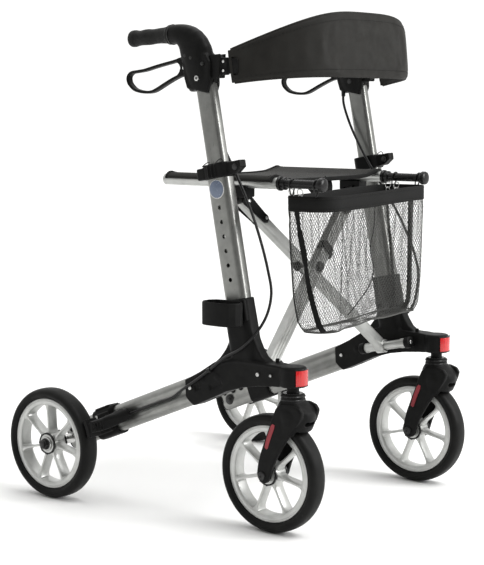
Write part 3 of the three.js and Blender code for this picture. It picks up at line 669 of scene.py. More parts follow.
side_tube = Shape().along_tube(lobes(25, 48), -225.8, 152, 0.5)
axle_hole = Shape().rod(rear_o + Y * 50, rear_o + Y * 95, 5.3, 24)
pair("lower_tube_extrusion", carved(side_tube, axle_hole, "lower_tube_extrusion"), "alu_low", "frame",
    ["lower_tube"])
plug = Shape().along_tube(lobes(25, 48, 0.15), -228, -225.6, 0.5)
for side in (-1, 1):
    plug.rod(*across(-214, 10, 12.1 * side, 13.4 * side), 4.2, 20, 0.5)
    plug.rod(*across(-214, 10, 12.7 * side, 14.1 * side), 2.6, 16, 0.4)
for d in (-190, -168):
    plug.rod(*across(d, 10, 11.9, 13.7), 5.4, 20, 0.7)
    plug.rod(*across(d, 10, 13.1, 14.2), 3.0, 6, 0.3)
pair("lower_tube_plug", plug, "black", "frame")
bush = Shape().rod(rear_o + Y * 84.4, rear_o + Y * 86.4, 8.4, 6, 0.8)
bush.rod(rear_o + Y * 83.2, rear_o + Y * 84.6, 10.5, 28, 0.4)
bush.rod(rear_o + Y * 85.8, rear_o + Y * 88.6, 4.8, 20, 0.8)
pair("rear_axle_lock_nut", bush, "dark_steel", "frame")

# ---------------------------------------------------------------- frame junctions
arm = [(44, 238), (46, 208), (54, 201), (64, 195), (97, 210), (135, 228), (172, 239.5), (205, 245.5), (240, 249),
    (262, 250.4), (262, 283), (240, 285), (212, 285.5), (190, 288), (150, 288), (110, 276), (78, 256)]
web = [(149, 352), (144, 334), (139, 316), (131, 300), (119, 285), (100, 268), (96, 240), (250, 262), (250, 283.6),
    (222, 286), (210, 294), (200, 308), (192, 324), (185, 345), (183, 356)]


def wall(outline, y0, y1, chamfer=1.5):
    return Shape().prism(outline, (0, 0, 0), X, Z, -y1, -y0, chamfer)


def join(*shapes):
    out = Shape()
    for s in shapes:
        out.add(s.v, s.f)
    return out


SLEEVE = ((-104, 50, 32.6, 11), (-92, 51, 33.8, 12), (-72, 52, 36.6, 12.6), (-50, 52.4, 37, 12.8),
    (-30, 51.8, 36.4, 12.6), (-8, 51.2, 35.2, 12.2), (1.5, 51, 35, 12), (3.6, 50.2, 34.2, 11.6),
    (4.2, 48.8, 32.8, 11))
sleeve_rings = [put(rrect(w, d, r, 6), on_upright(s), N, Y) for s, w, d, r in SLEEVE]
knuckle = Shape().turn([(0.5, 250.4), (21.4, 250.4), (22.4, 251.4), (22.4, 281), (21.2, 283.4), (18.4, 284.6),
    (0.5, 284.8)], (STEM_X, -YU, 0), Z, 64)
body = join(wall(arm, -YU - 17, -YU + 17, 2.4), wall(web, -YU - 11, -YU + 9, 2.5), Shape().skin(sleeve_rings),
    knuckle)
# a raised shoulder runs along the arm, and small pads carry the bolts
body.sweep(spline([(70, -YU - 16.2, 247), (110, -YU - 16.6, 268), (150, -YU - 16.8, 281.4),
    (200, -YU - 16.8, 283.2), (250, -YU - 16.8, 282.4)], step=4), circle(1.7, 10))
for x, z, r in ((58, 226, 6.5), (118, 252, 6), (206, 266, 6.5), (233, 267, 5), (85, 243, 5)):
    body.stud(x, z, -15.5, -17.9, r, 20, 0.8)
for x, z, r in ((62, 225, 6), (96, 240, 5), (222, 268, 7)):
    body.stud(x, z, 15.5, 18, r, 20, 0.8)
hollow = Shape().along_upright(rrect(44.9, 28.9, 10.4, 6), -67, 12)
hollow.along_tube(lobes(25, 48, 0.35), -30, 152.5)
hollow.rod((STEM_X, -YU, 240), (STEM_X, -YU, 275), 10.9, 40)
# sunk pockets on the outer face behind the shoulder
for outline in ([(66, 232), (76, 236.5), (78, 226), (69, 221)], [(100, 236), (126, 247), (128, 240), (103, 227)]):
    hollow.plate(outline, 14.6, 19)
cast("junction", body, 1.3, 5, "frame", hollow)
OUTER_BOLTS = (58, 226, 3.6), (206, 266, 3.4), (233, 267, 2.4)
bolts = Shape()
for x, z, r in OUTER_BOLTS:
    bolts.stud(x, z, -17.2, -19.2, r, 20, 0.7)
for x, z, r in ((62, 225, 3.2), (222, 268, 4)):
    bolts.stud(x, z, 17.4, 19.4, r, 20, 0.7)
drives = join(*[Shape().stud(x, z, -18.2, -21, r * 0.5, 6) for x, z, r in OUTER_BOLTS])
pair("junction_bolt", carved(bolts, drives, "bolts"), "steel", "frame")
peg = Shape().rod((228, -YU + 8, 284), (228, -YU + 8, 292), 3.4, 20, 1.2)
peg.rod((228, -YU + 8, 281), (228, -YU + 8, 286), 5.2, 20, 0.6)
pair("junction_peg", peg, "black", "frame")


def fan(r, a0, a1, n=25):
    """Points on an arc round the origin, angles in degrees."""
    return [(r * math.cos(a), r * math.sin(a)) for a in np.radians(np.linspace(a0, a1, n))]


lens_arc = fan(24.6, -42, 42) + fan(22.8, 42, -42)
pair("reflector_lens", Shape().prism(lens_arc, (STEM_X, -YU, 0), X, Y, 254.2, 279.8, 0.35), "red", "frame",
    ["reflector"])
bezel_arc = [(q * 1.012, p * 1.012) for q, p in lens_arc[:25]] + fan(23, 46, -46)
bezel = Shape().prism(bezel_arc, (STEM_X, -YU, 0), X, Y, 279.9, 281.6, 0.3)
bezel.prism(bezel_arc, (STEM_X, -YU, 0), X, Y, 252.4, 254.1, 0.3)
pair("reflector_bezel", bezel, "gloss", "frame")

# ---------------------------------------------------------------- uprights
HOLES = [159, 134.6, 110.2, 85.8, 61.4, 37]
PIN_S = HOLES[2]                                        # the hole that the spring button stands in
BADGE_S, LUG_S, LUG_N = 190, 221, 41
outer = Shape().along_upright(rrect(44, 28, 10, 8), -66, 216, 0.4)
bores = Shape().along_upright(rrect(40, 24, 8, 8), -70, 220)
for s in HOLES:
    bores.rod(on_upright(s, -YU - 5), on_upright(s, -YU - 20), 3.6, 24)
pair("outer_tube_extrusion", carved(outer, bores, "outer_tube_extrusion"), "alu", "frame", ["outer_tube"])
inner = Shape().along_upright(rrect(37, 21, 7.5, 8), 76, 398, 0.3)
bores = Shape().along_upright(rrect(33.4, 17.4, 5.7, 6), 70, 400)
bores.rod(on_upright(PIN_S, -YU - 5), on_upright(PIN_S, -YU - 20), 4.1, 24)
pair("inner_tube_extrusion", carved(inner, bores, "inner_tube_extrusion"), "alu", "handle", ["inner_tube"])
button = Shape().rod(on_upright(PIN_S, -YU - 4), on_upright(PIN_S, -YU - 8), 5, 24, 0.4)
button.rod(on_upright(PIN_S, -YU - 7), on_upright(PIN_S, -YU - 9), 3.8, 24)
button.sphere(on_upright(PIN_S, -YU - 8.6), 3.75, 0.82, Y, 14)
pair("snap_button_dome", button, "steel", "button", ["snap_button"])


def disc(r, y, levels):
    """Round plate on the upright's outer face, through levels of (share of r, rise)."""
    o = on_upright(BADGE_S, -YU - y)
    ring = circle(r, 64)
    return Shape().skin([np.array([o + N * p * k + U * q * k - Y * t for p, q in ring]) for k, t in levels])


pair("badge_rim", disc(16, 13.9, ((1, 0), (1, 0.5), (0.97, 0.85))), "steel", "frame", slot=None)
pair("badge_face", disc(14.8, 14.6, ((1, 0), (1, 0.28), (0.96, 0.42))), "badge", "frame")

COLLAR = (208, 50, 35, 12), (209.4, 52, 37, 13), (231.4, 52, 37, 13), (233, 50.6, 35.6, 12.4)
collar = Shape().skin([put(rrect(w, d, r, 6), on_upright(s), N, Y) for s, w, d, r in COLLAR])
collar.prism([(21, 210.4), (38, 210.4), (52.4, 219), (52.4, 231), (21, 231)], on_upright(0), N, U, -9, 9, 1.2)
collar.along_upright(rrect(19, 13, 3, 4) + np.array([-26.8, -11.2]), 209, 229, 1.4)
for u in (-8.2, -0.6, 7):
    collar.along_upright(rrect(2.6, 5, 0.9, 3) + np.array([u, -18.5]), 209.4, 231, 0.6)
hollow = Shape().along_upright(rrect(44.8, 28.8, 10.4, 6), 200, 216.5)
hollow.along_upright(rrect(37.8, 21.8, 7.9, 6), 200, 240)
hollow.along_upright(rrect(26, 1.6, 0.5, 2) + np.array([41.5, 0.5]), 200, 240)
cast("collar", collar, 0.9, 3, "frame", hollow, 0.6)
knob = Shape()
for y0, y1, r, n in ((-8.6, -10.2, 5.2, 24), (8.8, 11.4, 5.4, 6)):
    knob.rod(on_upright(LUG_S, -YU + y0) + N * LUG_N, on_upright(LUG_S, -YU + y1) + N * LUG_N, r, n, 0.6)
pair("collar_bolt", knob, "dark_steel", "frame")
wire = Shape()
for bend in ([(-22, 231.5), (-15, 234.6), (-8, 236.4), (-5, 235.2)],
        [(6, 231.8), (12, 235.4), (19, 238), (22.6, 236.6), (23.4, 233.6), (22, 231.6)]):
    wire.sweep(spline([on_upright(t, -YU - 16.4) + N * u for u, t in bend], step=1), circle(0.8, 10))
pair("collar_wire", wire, "cable", "frame", slot="steel")

# ---------------------------------------------------------------- cane cup
cc = on_upright(-17)
facets = np.array([(-37, -8), (-37, 8), (-30, 17.5), (-19, 21), (14, 21), (26, 18.5), (34, 10.5), (37, 1),
    (34.5, -9), (27, -17.6), (13, -21), (-19, -21), (-30, -17.5)], float)[::-1]
cup_c = np.array([cc[0] - 6, -YU - 39.4, 0])
CUP = ((0.972, 346), (1.0, 347.2), (1.0, 383.6), (0.976, 385), (0.926, 385), (0.918, 384), (0.918, 347),
    (0.926, 346))
cup = Shape().skin([put(facets * k, cup_c + Z * z, X, Y) for k, z in CUP], loop=True)
cup_ob = link(mesh_of(cup, "cane_cup_band", 24), "cane_cup_band", "black", "frame_right", ["cane_cup_right"])
soft_edge = cup_ob.modifiers.new("ease", "BEVEL")
soft_edge.width, soft_edge.segments, soft_edge.angle_limit = 0.0012, 3, math.radians(18)
clip = Shape().along_upright(rrect(54, 8, 3, 4) + np.array([0, -16.4]), -34, 2, 1.2)
clip.rod(on_upright(-10, -YU - 19.8), on_upright(-10, -YU - 21.8), 4.2, 20, 0.8)
link(moulded(clip, "cane_cup_clip", 1.0, 3), "cane_cup_clip", "black", "frame_right")

# ---------------------------------------------------------------- rear brakes
housing = Shape().along_tube(rrect(34, 55, 10, 6), -149.6, -96.4, 2.2)
housing.along_tube(rrect(13, 21, 3, 4) + np.array([-18, 0.5]), -112, -72, 1.6)
housing.along_tube(rrect(6, 36, 2, 3) + np.array([-17.4, 0]), -142, -104, 1.2)
housing.along_tube(rrect(30, 5, 2, 3) + np.array([0, 27]), -140, -104, 1.2)
housing.rod(*across(-103, 0, -13, -24.6), 8.4, 24, 1.2)
hollow = Shape().along_tube(lobes(25, 48, 0.3), -160, -60)
cast("brake_housing", housing, 1.0, 4, "frame", hollow, 0.7)
screw = Shape().rod(*across(-76, 0.5, -23.6, -26), 3.6, 24, 0.8)
screw.rod(*across(-135, 14, -16.4, -21), 3.2, 24, 0.8)
screw.rod(*across(-103, 0, -24, -25.8), 4.6, 24, 0.8)
pair("brake_housing_screw", screw, "steel", "frame")
ferrule = Shape().rod(tube_at(-72, 0.5, -13.2), tube_at(-58, 0.5, -12.9), 3.9, 20, 0.8)
pair("cable_ferrule", ferrule, "gloss", "frame")


def slab(stations):
    """Rounded bar through sections given as (x, y, z, width along X, height along Z)."""
    return Shape().skin([put(rrect(w, h, min(w, h) * 0.35, 4), (x, y, z), X, Z) for x, y, z, w, h in stations])


shoe = slab([(-92, -246.6, 161, 26, 20), (-97, -254, 157, 24, 21), (-101, -262, 153, 20, 21.4),
    (-108, -272, 149, 14.5, 22), (-114, -281, 145.4, 10.5, 22), (-116, -292, 144.6, 9.5, 21),
    (-116.6, -305.6, 144, 8.6, 19.6)])
pad = [(rear_o[0] + r * math.cos(a), WHEEL_Z + r * math.sin(a))
    for r, ang in ((103.2, (13, 17.5, 22, 26.5, 31)), (112.6, (30.4, 26.5, 22, 17.5, 13.6)))
    for a in np.radians(ang)]
shoe.prism(pad, (0, 0, 0), X, Z, 280.4, 307.6, 1.0)
for i in range(4):
    y = -284 - i * 6.4
    shoe.prism([(-111.8, 150), (-107.5, 136), (-105.6, 137), (-109.6, 151.6)], (0, 0, 0), X, Z, -y - 1.2, -y + 1.2)
cast("brake_shoe", shoe, 0.9, 3, "shoe")

# ---------------------------------------------------------------- handles
def handle_section(cx, cz, a, b, deg, n=40, power=0.86):
    t = math.radians(deg)
    return put(circle(a, n, b, power), (cx, -YU, cz), np.array([math.sin(t), 0, -math.cos(t)]), Y)


HOUSING = [
    (75.2, 733.6, 23.5, 13.2, 100), (75, 735.4, 26.4, 14.9, 100), (74.5, 738, 27.6, 15.6, 100), (73, 748, 28.6, 17,
        100),
    (70.4, 760, 29.4, 17.7, 101), (67, 772, 30, 18, 102), (64.4, 783, 30.6, 18, 105), (60.4, 794, 31, 18, 112),
    (55.4, 804, 29.4, 17.8, 123), (49, 812, 27, 17.5, 135), (42.6, 818, 23.8, 17.2, 147), (36, 822, 21, 17, 158),
    (30, 824.6, 18.9, 17, 167), (24, 826, 17.5, 17, 175), (18, 826.5, 16.9, 16.8, 179), (13, 826.5, 16.6, 16.6,
        180),
    (9.4, 826.5, 16.2, 16.2, 180), (8.4, 826.5, 15.5, 15.5, 180)]
shell = Shape().skin([handle_section(*at) for at in HOUSING])
# lower body: a flat-sided block that holds the lever and the bracket
block = [(50, 735), (96, 727), (101, 741), (99.6, 780), (92, 792), (60, 800), (44, 792), (40, 776), (44, 752)]
shell.plate(block, -14.6, 14.6, 2.0)
hollow = Shape().along_upright(rrect(37.9, 21.9, 7.9, 6), 335, 398.8)
hollow.box(18, 55, -YU - 7.9, -YU + 7.9, 744, 796)
cast("handle_housing", shell, 1.2, 6, "handle", hollow)
screws = Shape()
for x, z, r, y in ((75, 752, 4.6, 17.4), (86, 776, 3.4, 16.4), (62, 786, 3.2, 17.6), (48.6, 790, 3.0, 17.0)):
    screws.rod((x, -YU - y + 2.4, z), (x, -YU - y - 0.5, z), r, 24, 0.7)
    screws.rod((x, -YU + y - 2.4, z), (x, -YU + y + 0.5, z), r, 24, 0.7)
pins = Shape().stud(75, 752, -14, -18.4, 4.7, 28, 0.9)
pins = carved(pins, Shape().prism(circle(2.4, 6), (75, 0, 752), X, Z, YU + 16.6, YU + 20), "pins")
pair("housing_bolt", pins, "steel", "handle")
pair("housing_screws", screws, "dark_steel", "handle")

grip = [(-88, 9.4), (-87.6, 11.6), (-86.4, 13.3), (-84, 14.3), (-80, 14.6), (-76, 14.4), (-73.4, 13.7), (-69, 13.1),
    (-62, 12.9), (-54, 13.3), (-46, 13.6), (-38, 13.2), (-30, 12.7), (-22, 12.8), (-14, 13.4), (-6, 14.2), (-1, 15),
    (1.2, 16.2), (2.4, 16.9), (7, 17), (7.8, 16.4)]
rings = []
GRIP_DOWN = np.array([math.sin(math.pi), 0, -math.cos(math.pi)])
share = np.linspace(0, 20, 97)
for x, r in zip(*(np.interp(share, range(21), [g[k] for g in grip]) for k in (0, 1))):
    ring = circle(r, 48, r * 0.94)
    # shallow finger swells underneath and a fine ribbed band round the palm
    swell = 0.45 * math.sin((x + 62) / 5.2) if -70 < x < -8 else 0.0
    rib = 0.22 * math.sin(x * 2 * math.pi / 3.2) if -72 < x < -10 else 0.0
    low = np.clip(ring[:, :1] / r, 0, 1)
    ring = ring * (1 + (swell * low + rib) / r)
    rings.append(put(ring, (x, -YU, 821.6 + (x + 88) * 0.051), GRIP_DOWN, Y))
pair("grip_moulded", Shape().skin(rings), "rubber", "handle", ["grip"], 60)
ring = Shape().turn([(15.4, 7.4), (17.3, 7.7), (17.6, 8.6), (17.3, 9.6), (15.4, 9.9)], (0, -YU, 826.4), X, 64)
pair("grip_ring", ring, "gloss", "handle")
cap = Shape().skin([put(circle(r, 40, r * 0.94), (x, -YU, 821.6), Y, Z)
    for x, r in ((-87.2, 10.4), (-88.3, 9.8), (-88.8, 8.2), (-88.9, 3))])
pair("grip_cap", cap, "gloss", "handle")

# loop levers: a flat strap bent round on itself, wider than it is thick
loop_out = [(44, 784), (38, 789), (28, 787.6), (10, 783.4), (-10, 779.6), (-34, 774.6), (-55, 770), (-72, 768),
    (-86, 766.4), (-93.6, 762), (-97, 754.6), (-95, 745), (-89, 738), (-80, 732), (-68, 728.7), (-57, 727.4),
    (-46, 727.2), (-35, 728.8), (-24, 733), (-10, 739.6), (4, 746), (16, 751), (28, 755), (40, 758.4), (45, 766)]
thick = [0, 0, 5.4, 5.4, 5.2, 5, 5, 5.2, 5.6, 6, 5.8, 5.8, 5.8, 5.4, 5.2, 5, 5, 5, 5.2, 5.2, 5.2, 5.2, 5.4, 0, 0]
core = []
for i in range(2, 23):
    p = np.array([loop_out[i][0], 0, loop_out[i][1]])
    t = unit([loop_out[i + 1][0] - loop_out[i - 1][0], 0, loop_out[i + 1][1] - loop_out[i - 1][1]])
    core.append(p + np.array([-t[2], 0, t[0]]) * thick[i] / 2)
core = spline([(34, 0, 786.4)] + core + [(36, 0, 760)], step=2.2)
core[:, 1] = -YU
lever = Shape().sweep(core, rrect(5.0, 13.6, 1.9, 4), up=Y)
lever.plate([(48, 762), (46, 784), (38, 789), (24, 787), (16, 783), (26, 776), (29, 770), (26, 762), (16, 752),
    (24, 754), (42, 758)], -6.6, 6.6, 1.0)
cast("brake_lever", lever, 0.9, 4, "lever")
pair("lever_pivot_pin", Shape().stud(38, 770, -7.4, 7.4, 3.4, 24, 0.5), "steel", "lever")

bracket = Shape().plate(rrect(31, 29, 3, 4) + np.array([115.1, 771.5]), -4.4, 4.4, 1.2)
bracket.plate(rrect(40, 25, 3, 4) + np.array([129.6, 771.5]), -1.5, 1.5, 0.5)
bracket.rod((108.6, -YU, 755), (108.6, -YU, 789), 7.4, 32, 1.4)
bracket.stud(124, 779, -4.2, -6.2, 4, 20, 0.8)
bracket.stud(124, 764, -4.2, -6.2, 4, 20, 0.8)
for a, b in ((-8.6, -4.6), (4.6, 8.6)):
    bracket.plate([(93, 752), (116, 752), (118, 792), (94, 790)], a, b, 0.8)
cast("backrest_bracket", bracket, 0.9, 3, "handle")
rivet = Shape().rod((108.6, -YU, 789), (108.6, -YU, 791.4), 3.6, 24, 0.8)
rivet.stud(124, 764, -5.8, -7.4, 2.3, 20, 0.6)
rivet.stud(124, 779, -5.8, -7.4, 2.3, 20, 0.6)
pair("backrest_bracket_rivet", rivet, "steel", "handle")

# ---------------------------------------------------------------- cross brace
FOOT_Y, FOOT_Z, CROSS_Z, TOP_Y, TOP_Z, CROSS_X = 190, 257, 418, 154, 549, 139


def in_brace(y, z, off=0.0):
    return np.array([CROSS_X - math.tan(PLANE) * (z - CROSS_Z), y, z]) + BN * off


def brace_axes(sign, off):
    foot, top = in_brace(sign * FOOT_Y, FOOT_Z, off), in_brace(-sign * TOP_Y, TOP_Z, off)
    d = unit(top - foot)
    return foot, top, d, np.cross(d, BN)


ribbed = [(8.5, -11), (8.5, -7.4), (7.2, -6.4), (7.2, -5.4), (8.5, -4.4), (8.5, -1.6), (7.2, -0.8), (7.2, 0.8),
    (8.5, 1.6), (8.5, 4.4), (7.2, 5.4), (7.2, 6.4), (8.5, 7.4), (8.5, 11)]
ribbed += [(-a, -b) for a, b in ribbed]
cross_c = np.array([CROSS_X, 0, CROSS_Z])
BRACES = [
    ("brace_a", 1, -9.5, rrect(17, 22, 5, 7), "brace_a_set"),
    ("brace_b", -1, 9.5, np.array(ribbed), "brace_b_set")]
for name, sign, off, outline, body in BRACES:
    foot, top, d, e = brace_axes(sign, off)
    length = np.linalg.norm(top - foot)
    solid = Shape().prism(outline, foot, BN, e, 0, length, 0.3)
    y = sign * FOOT_Y
    solid.rod(in_brace(y, FOOT_Z, off - 9.4), in_brace(y, FOOT_Z, off + 9.4), 12.5, 40, 0.8)
    bores = Shape().rod(in_brace(y, FOOT_Z, off - 30), in_brace(y, FOOT_Z, off + 30), 8.25, 40)
    bores.rod(cross_c - BN * 40, cross_c + BN * 40, 5.25, 24)
    link(carved(solid, bores, name + "_extrusion"), name + "_extrusion", "alu_bright", body, [name])
    # moulded clip round the brace above the crossing, open on the side that faces the other brace
    at = length * (CROSS_Z + (17 if name == "brace_a" else 30) - FOOT_Z) / (TOP_Z - FOOT_Z)
    band = Shape().prism(rrect(19.2, 27, 3, 4) + np.array([-1.4 * sign, 0]), foot, BN, e, at - 9, at + 9, 1.2)
    band.prism(rrect(9, 12, 2.5, 4) + np.array([0, -15.4 * sign]), foot, BN, e, at - 7, at + 7, 1.2)
    room = rrect(17.5, 22.5, 5, 5) if name == "brace_a" else rrect(17.4, 22.4, 0.8, 2)
    core_room = Shape().prism(room, foot, BN, e, at - 20, at + 20)
    link(moulded(band, name + "_clip", 1.0, 4, core_room), name + "_clip", "black", body)
bolt = Shape().rod(cross_c - BN * 24, cross_c + BN * 24, 5, 28)
for s in (-1, 1):
    bolt.rod(cross_c + BN * s * 18.4, cross_c + BN * s * 20, 9.6, 32, 0.4)
    bolt.rod(cross_c + BN * s * 19.6, cross_c + BN * s * 24.6, 7.4, 32, 2.0)
link(mesh_of(bolt, "brace_bolt_turned"), "brace_bolt_turned", "dark_steel", "brace_b_set", ["brace_bolt"])


def on_pivot(d):
    return in_brace(-FOOT_Y, FOOT_Z, d)


pivot = Shape().rod(on_pivot(-46), on_pivot(46), 8, 40, 0.6)
for d in (-40, 40):
    inner_face = np.array([on_pivot(d)[0], -YU + 17.3, on_pivot(d)[2]])
    pivot.skin([put(rrect(10, 18, 3, 5), on_pivot(d) + Y * 4, BN, BU),
        put(rrect(10, 18, 3, 5), inner_face, BN, BU)])
pair("pivot_tube_turned", pivot, "alu_bright", "frame", ["pivot_tube"])
blocks = Shape()
for d in (-52, 50):
    blocks.rod(on_pivot(d - 5), on_pivot(d + 6), 10.6, 32, 1.6)
    blocks.skin([put(rrect(9, 17, 3, 5), on_pivot(d) + Y * 3, BN, BU),
        put(rrect(9, 19, 3, 5), np.array([on_pivot(d)[0], -YU + 16, on_pivot(d)[2]]), BN, BU)])
pair("pivot_block", moulded(blocks, "pivot_block", 1.0, 4), "black", "frame")
heads = Shape()
for d, s in ((-57, -1), (56, 1)):
    heads.rod(on_pivot(d), on_pivot(d + 2.4 * s), 3.8, 20, 0.8)
pair("pivot_screw", heads, "steel", "frame")

# ---------------------------------------------------------------- seat tubes, bag carriers and brackets
seat_tube = Shape().prism(circle(SEAT_R, 48), (0, -SEAT_Y, SEAT_Z), Y, Z, -68, 186, 0.5)
bore = Shape().prism(circle(SEAT_R - 1.8, 40), (0, -SEAT_Y, SEAT_Z), Y, Z, -70, 170)
carrier = Shape()
axis_o = np.array([0, -SEAT_Y, SEAT_Z])
rod_r = 7.4
carrier.turn([(0.4, 186.3), (11.4, 186.3), (12.2, 187), (12.2, 190.6), (11.4, 191.4), (9.2, 191.6), (9.0, 195.6),
    (10.6, 196.2), (10.6, 199.6), (9.4, 200.6), (rod_r, 201.2), (rod_r, 268.4), (9.2, 269.2), (11.2, 270.2),
    (12.0, 271.8), (12.0, 276), (11.2, 278.4), (9, 279.6), (4, 280), (0.4, 280)], axis_o, X, 56)
stop_plug = Shape().turn([(0.4, -67.6), (9.0, -67.6), (9.0, -64), (0.4, -64)], axis_o, X, 40)
BRACE = {"right": ("brace_a_set", 1, -9.5), "left": ("brace_b_set", -1, 9.5)}
tube_mesh = carved(seat_tube, bore, "seat_tube_turned")
for side, sgn in SIDES.items():
    body, foot_side, off = BRACE[side]
    flip = side == "left"
    me = flipped(tube_mesh, "seat_tube_turned_left") if flip else tube_mesh
    link(me, f"seat_tube_turned_{side}", "alu_bright", body, [f"seat_tube_{side}"])
    link(mesh_of(carrier.mirrored() if flip else carrier, "bag_carrier"), f"bag_carrier_{side}", "gloss", body,
        [f"bag_sleeve_{side}"])
    link(mesh_of(stop_plug.mirrored() if flip else stop_plug, "tube_plug"), f"seat_tube_plug_{side}", "black", body)
    foot, top, d, e = brace_axes(foot_side, off)
    shape = Shape()
    for k in (11, -11):
        shape.prism([(-60, -7.5), (-40, -9), (-4, -12), (6, -12), (6, 12), (-4, 12), (-40, 9), (-60, 7.5),
            (-66, 3.4), (-66, -3.4)], top + BN * k, d, e, -2.2, 2.2, 0.5)
        shape.rod(top + BN * k * 0.85 - d * 57, top + BN * k * 1.36 - d * 57, 7.4, 24, 1.4)
    shape.box(top[0] - 22, top[0] + 22, sgn * SEAT_Y - 13, sgn * SEAT_Y + 13, 551, 569.4, 1.6)
    room = Shape().prism(circle(SEAT_R + 0.3, 40), (0, sgn * SEAT_Y, SEAT_Z), Y, Z, top[0] - 40, top[0] + 40)
    room.prism([(8.8, -11.3), (8.8, 11.3), (-8.8, 11.3), (-8.8, -11.3)], top, BN, e, -90, 0.4)
    link(moulded(shape, "seat_bracket", 0.9, 3, room), f"seat_bracket_moulded_{side}", "black", body,
        [f"seat_bracket_{side}"])
    pins = Shape()
    for t, r, out in ((-8, 3.4, 14.6), (-57, 3.0, 16.2)):
        pins.rod(top + BN * 12.4 + d * t, top + BN * out + d * t, r, 24, 0.7)
        pins.rod(top - BN * 12.4 + d * t, top - BN * out + d * t, r, 24, 0.7)
    link(mesh_of(pins, "seat_bracket_pin"), f"seat_bracket_pin_{side}", "steel", body)


# ---------------------------------------------------------------- cloth
def relaxed(grid_v, grid_f, name, pinned, frames=20, shrink=0.0, pressure=0.0, gravity=1.0, cap=8.0, stiff=12.0,
        bend=0.4):
    """Runs a cloth simulation on the mesh and returns its points, each moved at most cap millimetres."""
    rest = np.array(grid_v, float)
    me = bpy.data.meshes.new(name)
    me.from_pydata((rest * MM).tolist(), [], grid_f)
    ob = placed(name, me)
    group = ob.vertex_groups.new(name="pin")
    for i, w in enumerate(pinned):
        if w > 0:
            group.add([i], float(w), "REPLACE")
    mod = ob.modifiers.new("cloth", "CLOTH")
    s = mod.settings
    s.quality, s.mass, s.air_damping = 6, 0.2, 2.0
    s.tension_stiffness = s.compression_stiffness = stiff
    s.shear_stiffness, s.bending_stiffness = stiff * 0.6, bend
    s.vertex_group_mass = "pin"
    s.shrink_min = shrink
    s.effector_weights.gravity = gravity
    if pressure:
        s.use_pressure, s.uniform_pressure_force = True, pressure
    mod.collision_settings.use_collision = False
    mod.point_cache.frame_start, mod.point_cache.frame_end = 1, frames
    for f in range(1, frames + 1):
        scene.frame_set(f)
    dg = bpy.context.evaluated_depsgraph_get()
    ev = ob.evaluated_get(dg)
    got = np.array([v.co for v in ev.data.vertices], float) / MM
    scene.frame_set(1)
    bpy.data.objects.remove(ob)
    move = got - rest
    size = np.linalg.norm(move, axis=1)[:, None]
    return rest + move * np.minimum(1, cap / np.maximum(size, 1e-6))


def grid_faces(rows, cols, wrap=False):
    out = []
    for i in range(rows - 1):
        for j in range(cols if wrap else cols - 1):
            k = (j + 1) % cols
            out.append((i * cols + j, i * cols + k, (i + 1) * cols + k, (i + 1) * cols + j))
    return out


# sling seat: one sheet over both tubes, hemmed along its front and rear edges
wrap_r = SEAT_R + 1.5
line = [(-SEAT_Y + wrap_r * math.cos(a), SEAT_Z + wrap_r * math.sin(a))
    for a in np.radians(np.linspace(168, 96, 9))]
span = np.linspace(-SEAT_Y + 6, SEAT_Y - 6, 45)
dip = 583.6
line += [(y, dip + (SEAT_Z + wrap_r - dip) * min(1, max(0, (abs(y) - 62) / 88)) ** 2.2) for y in span]
line += [(-y, z) for y, z in line[:9][::-1]]
line = np.array(line)
run = np.concatenate([[0], np.cumsum(np.linalg.norm(np.diff(line, axis=0), axis=1))])
even = np.linspace(0, run[-1], 71)
line = np.stack([np.interp(even, run, line[:, k]) for k in (0, 1)], 1)
xs = np.linspace(-57, 175, 47)
seat_grid = np.array([(x, y, z) for x in xs for y, z in line])
pin = [1.0 if abs(y) > SEAT_Y - 7 else 0.0 for x, y, z in seat_grid]
faces = grid_faces(len(xs), len(line))
seat_points = relaxed(seat_grid, faces, "seat_cloth", pin, 18, 0.0, cap=4.5, stiff=25.0, bend=0.8)
seat_ob = link(mesh_of(Shape().add(seat_points, faces), "seat_sling", 60), "seat_sling", "seat")
thick = seat_ob.modifiers.new("thickness", "SOLIDIFY")
thick.thickness, thick.offset = 0.0022, 0.0
baked(seat_ob)
seat_ob.data.shade_smooth()
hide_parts("seat")


def folding(ob):
    """Bakes the object's placement into its mesh."""
    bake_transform(ob)
    return ob


def loose(shape, name, look, slot, sharp=50, replaces=()):
    """A piece that rides on no one body by itself."""
    return link(mesh_of(shape, name, sharp), name, look, None, replaces, slot)


cols = len(line)
hems = Shape()
stitches = Shape()
for row, out in ((0, -1), (len(xs) - 1, 1)):
    edge = seat_points[row * cols:(row + 1) * cols]
    hems.sweep(edge + X * out * 1.2 - Z * 0.4, rrect(7.6, 3.4, 1.6, 4), up=X)
    for side in (2.4, 8.6):
        for j in range(2, cols - 3):
            inward = X * out * side
            a, b = edge[j] - inward + Z * 1.4, edge[j] * 0.42 + edge[j + 1] * 0.58 - inward + Z * 1.4
            stitches.rod(a, b, 0.34, 6)
hem_ob = folding(loose(hems, "seat_hem", "hem", "seat_textile"))
stitch_ob = folding(loose(stitches, "seat_stitching", "hem", "seat_textile"))
# stitching where the cloth is turned round each tube
side_stitches = Shape()
stitch_r, stitch_a = wrap_r + 1.25, math.radians(24)
for s in (-1, 1):
    y, z = s * SEAT_Y - s * -stitch_r * math.cos(stitch_a), SEAT_Z + stitch_r * math.sin(stitch_a)
    for j in range(44):
        x = -52 + j * 5.15
        side_stitches.rod((x, y, z), (x + 3.2, y, z), 0.34, 6)
band_ob = folding(loose(side_stitches, "seat_side_stitching", "hem", "seat_textile"))
folding(seat_ob)
strap_path = spline([(150, -30, 578), (158, -26, 566), (160, -10, 556), (160, 10, 554), (158, 26, 562),
    (150, 34, 577)], step=3)
folding(loose(Shape().sweep(strap_path, rrect(22, 1.8, 0.7, 3), up=X), "fold_pull_strap", "hem", "seat_textile"))

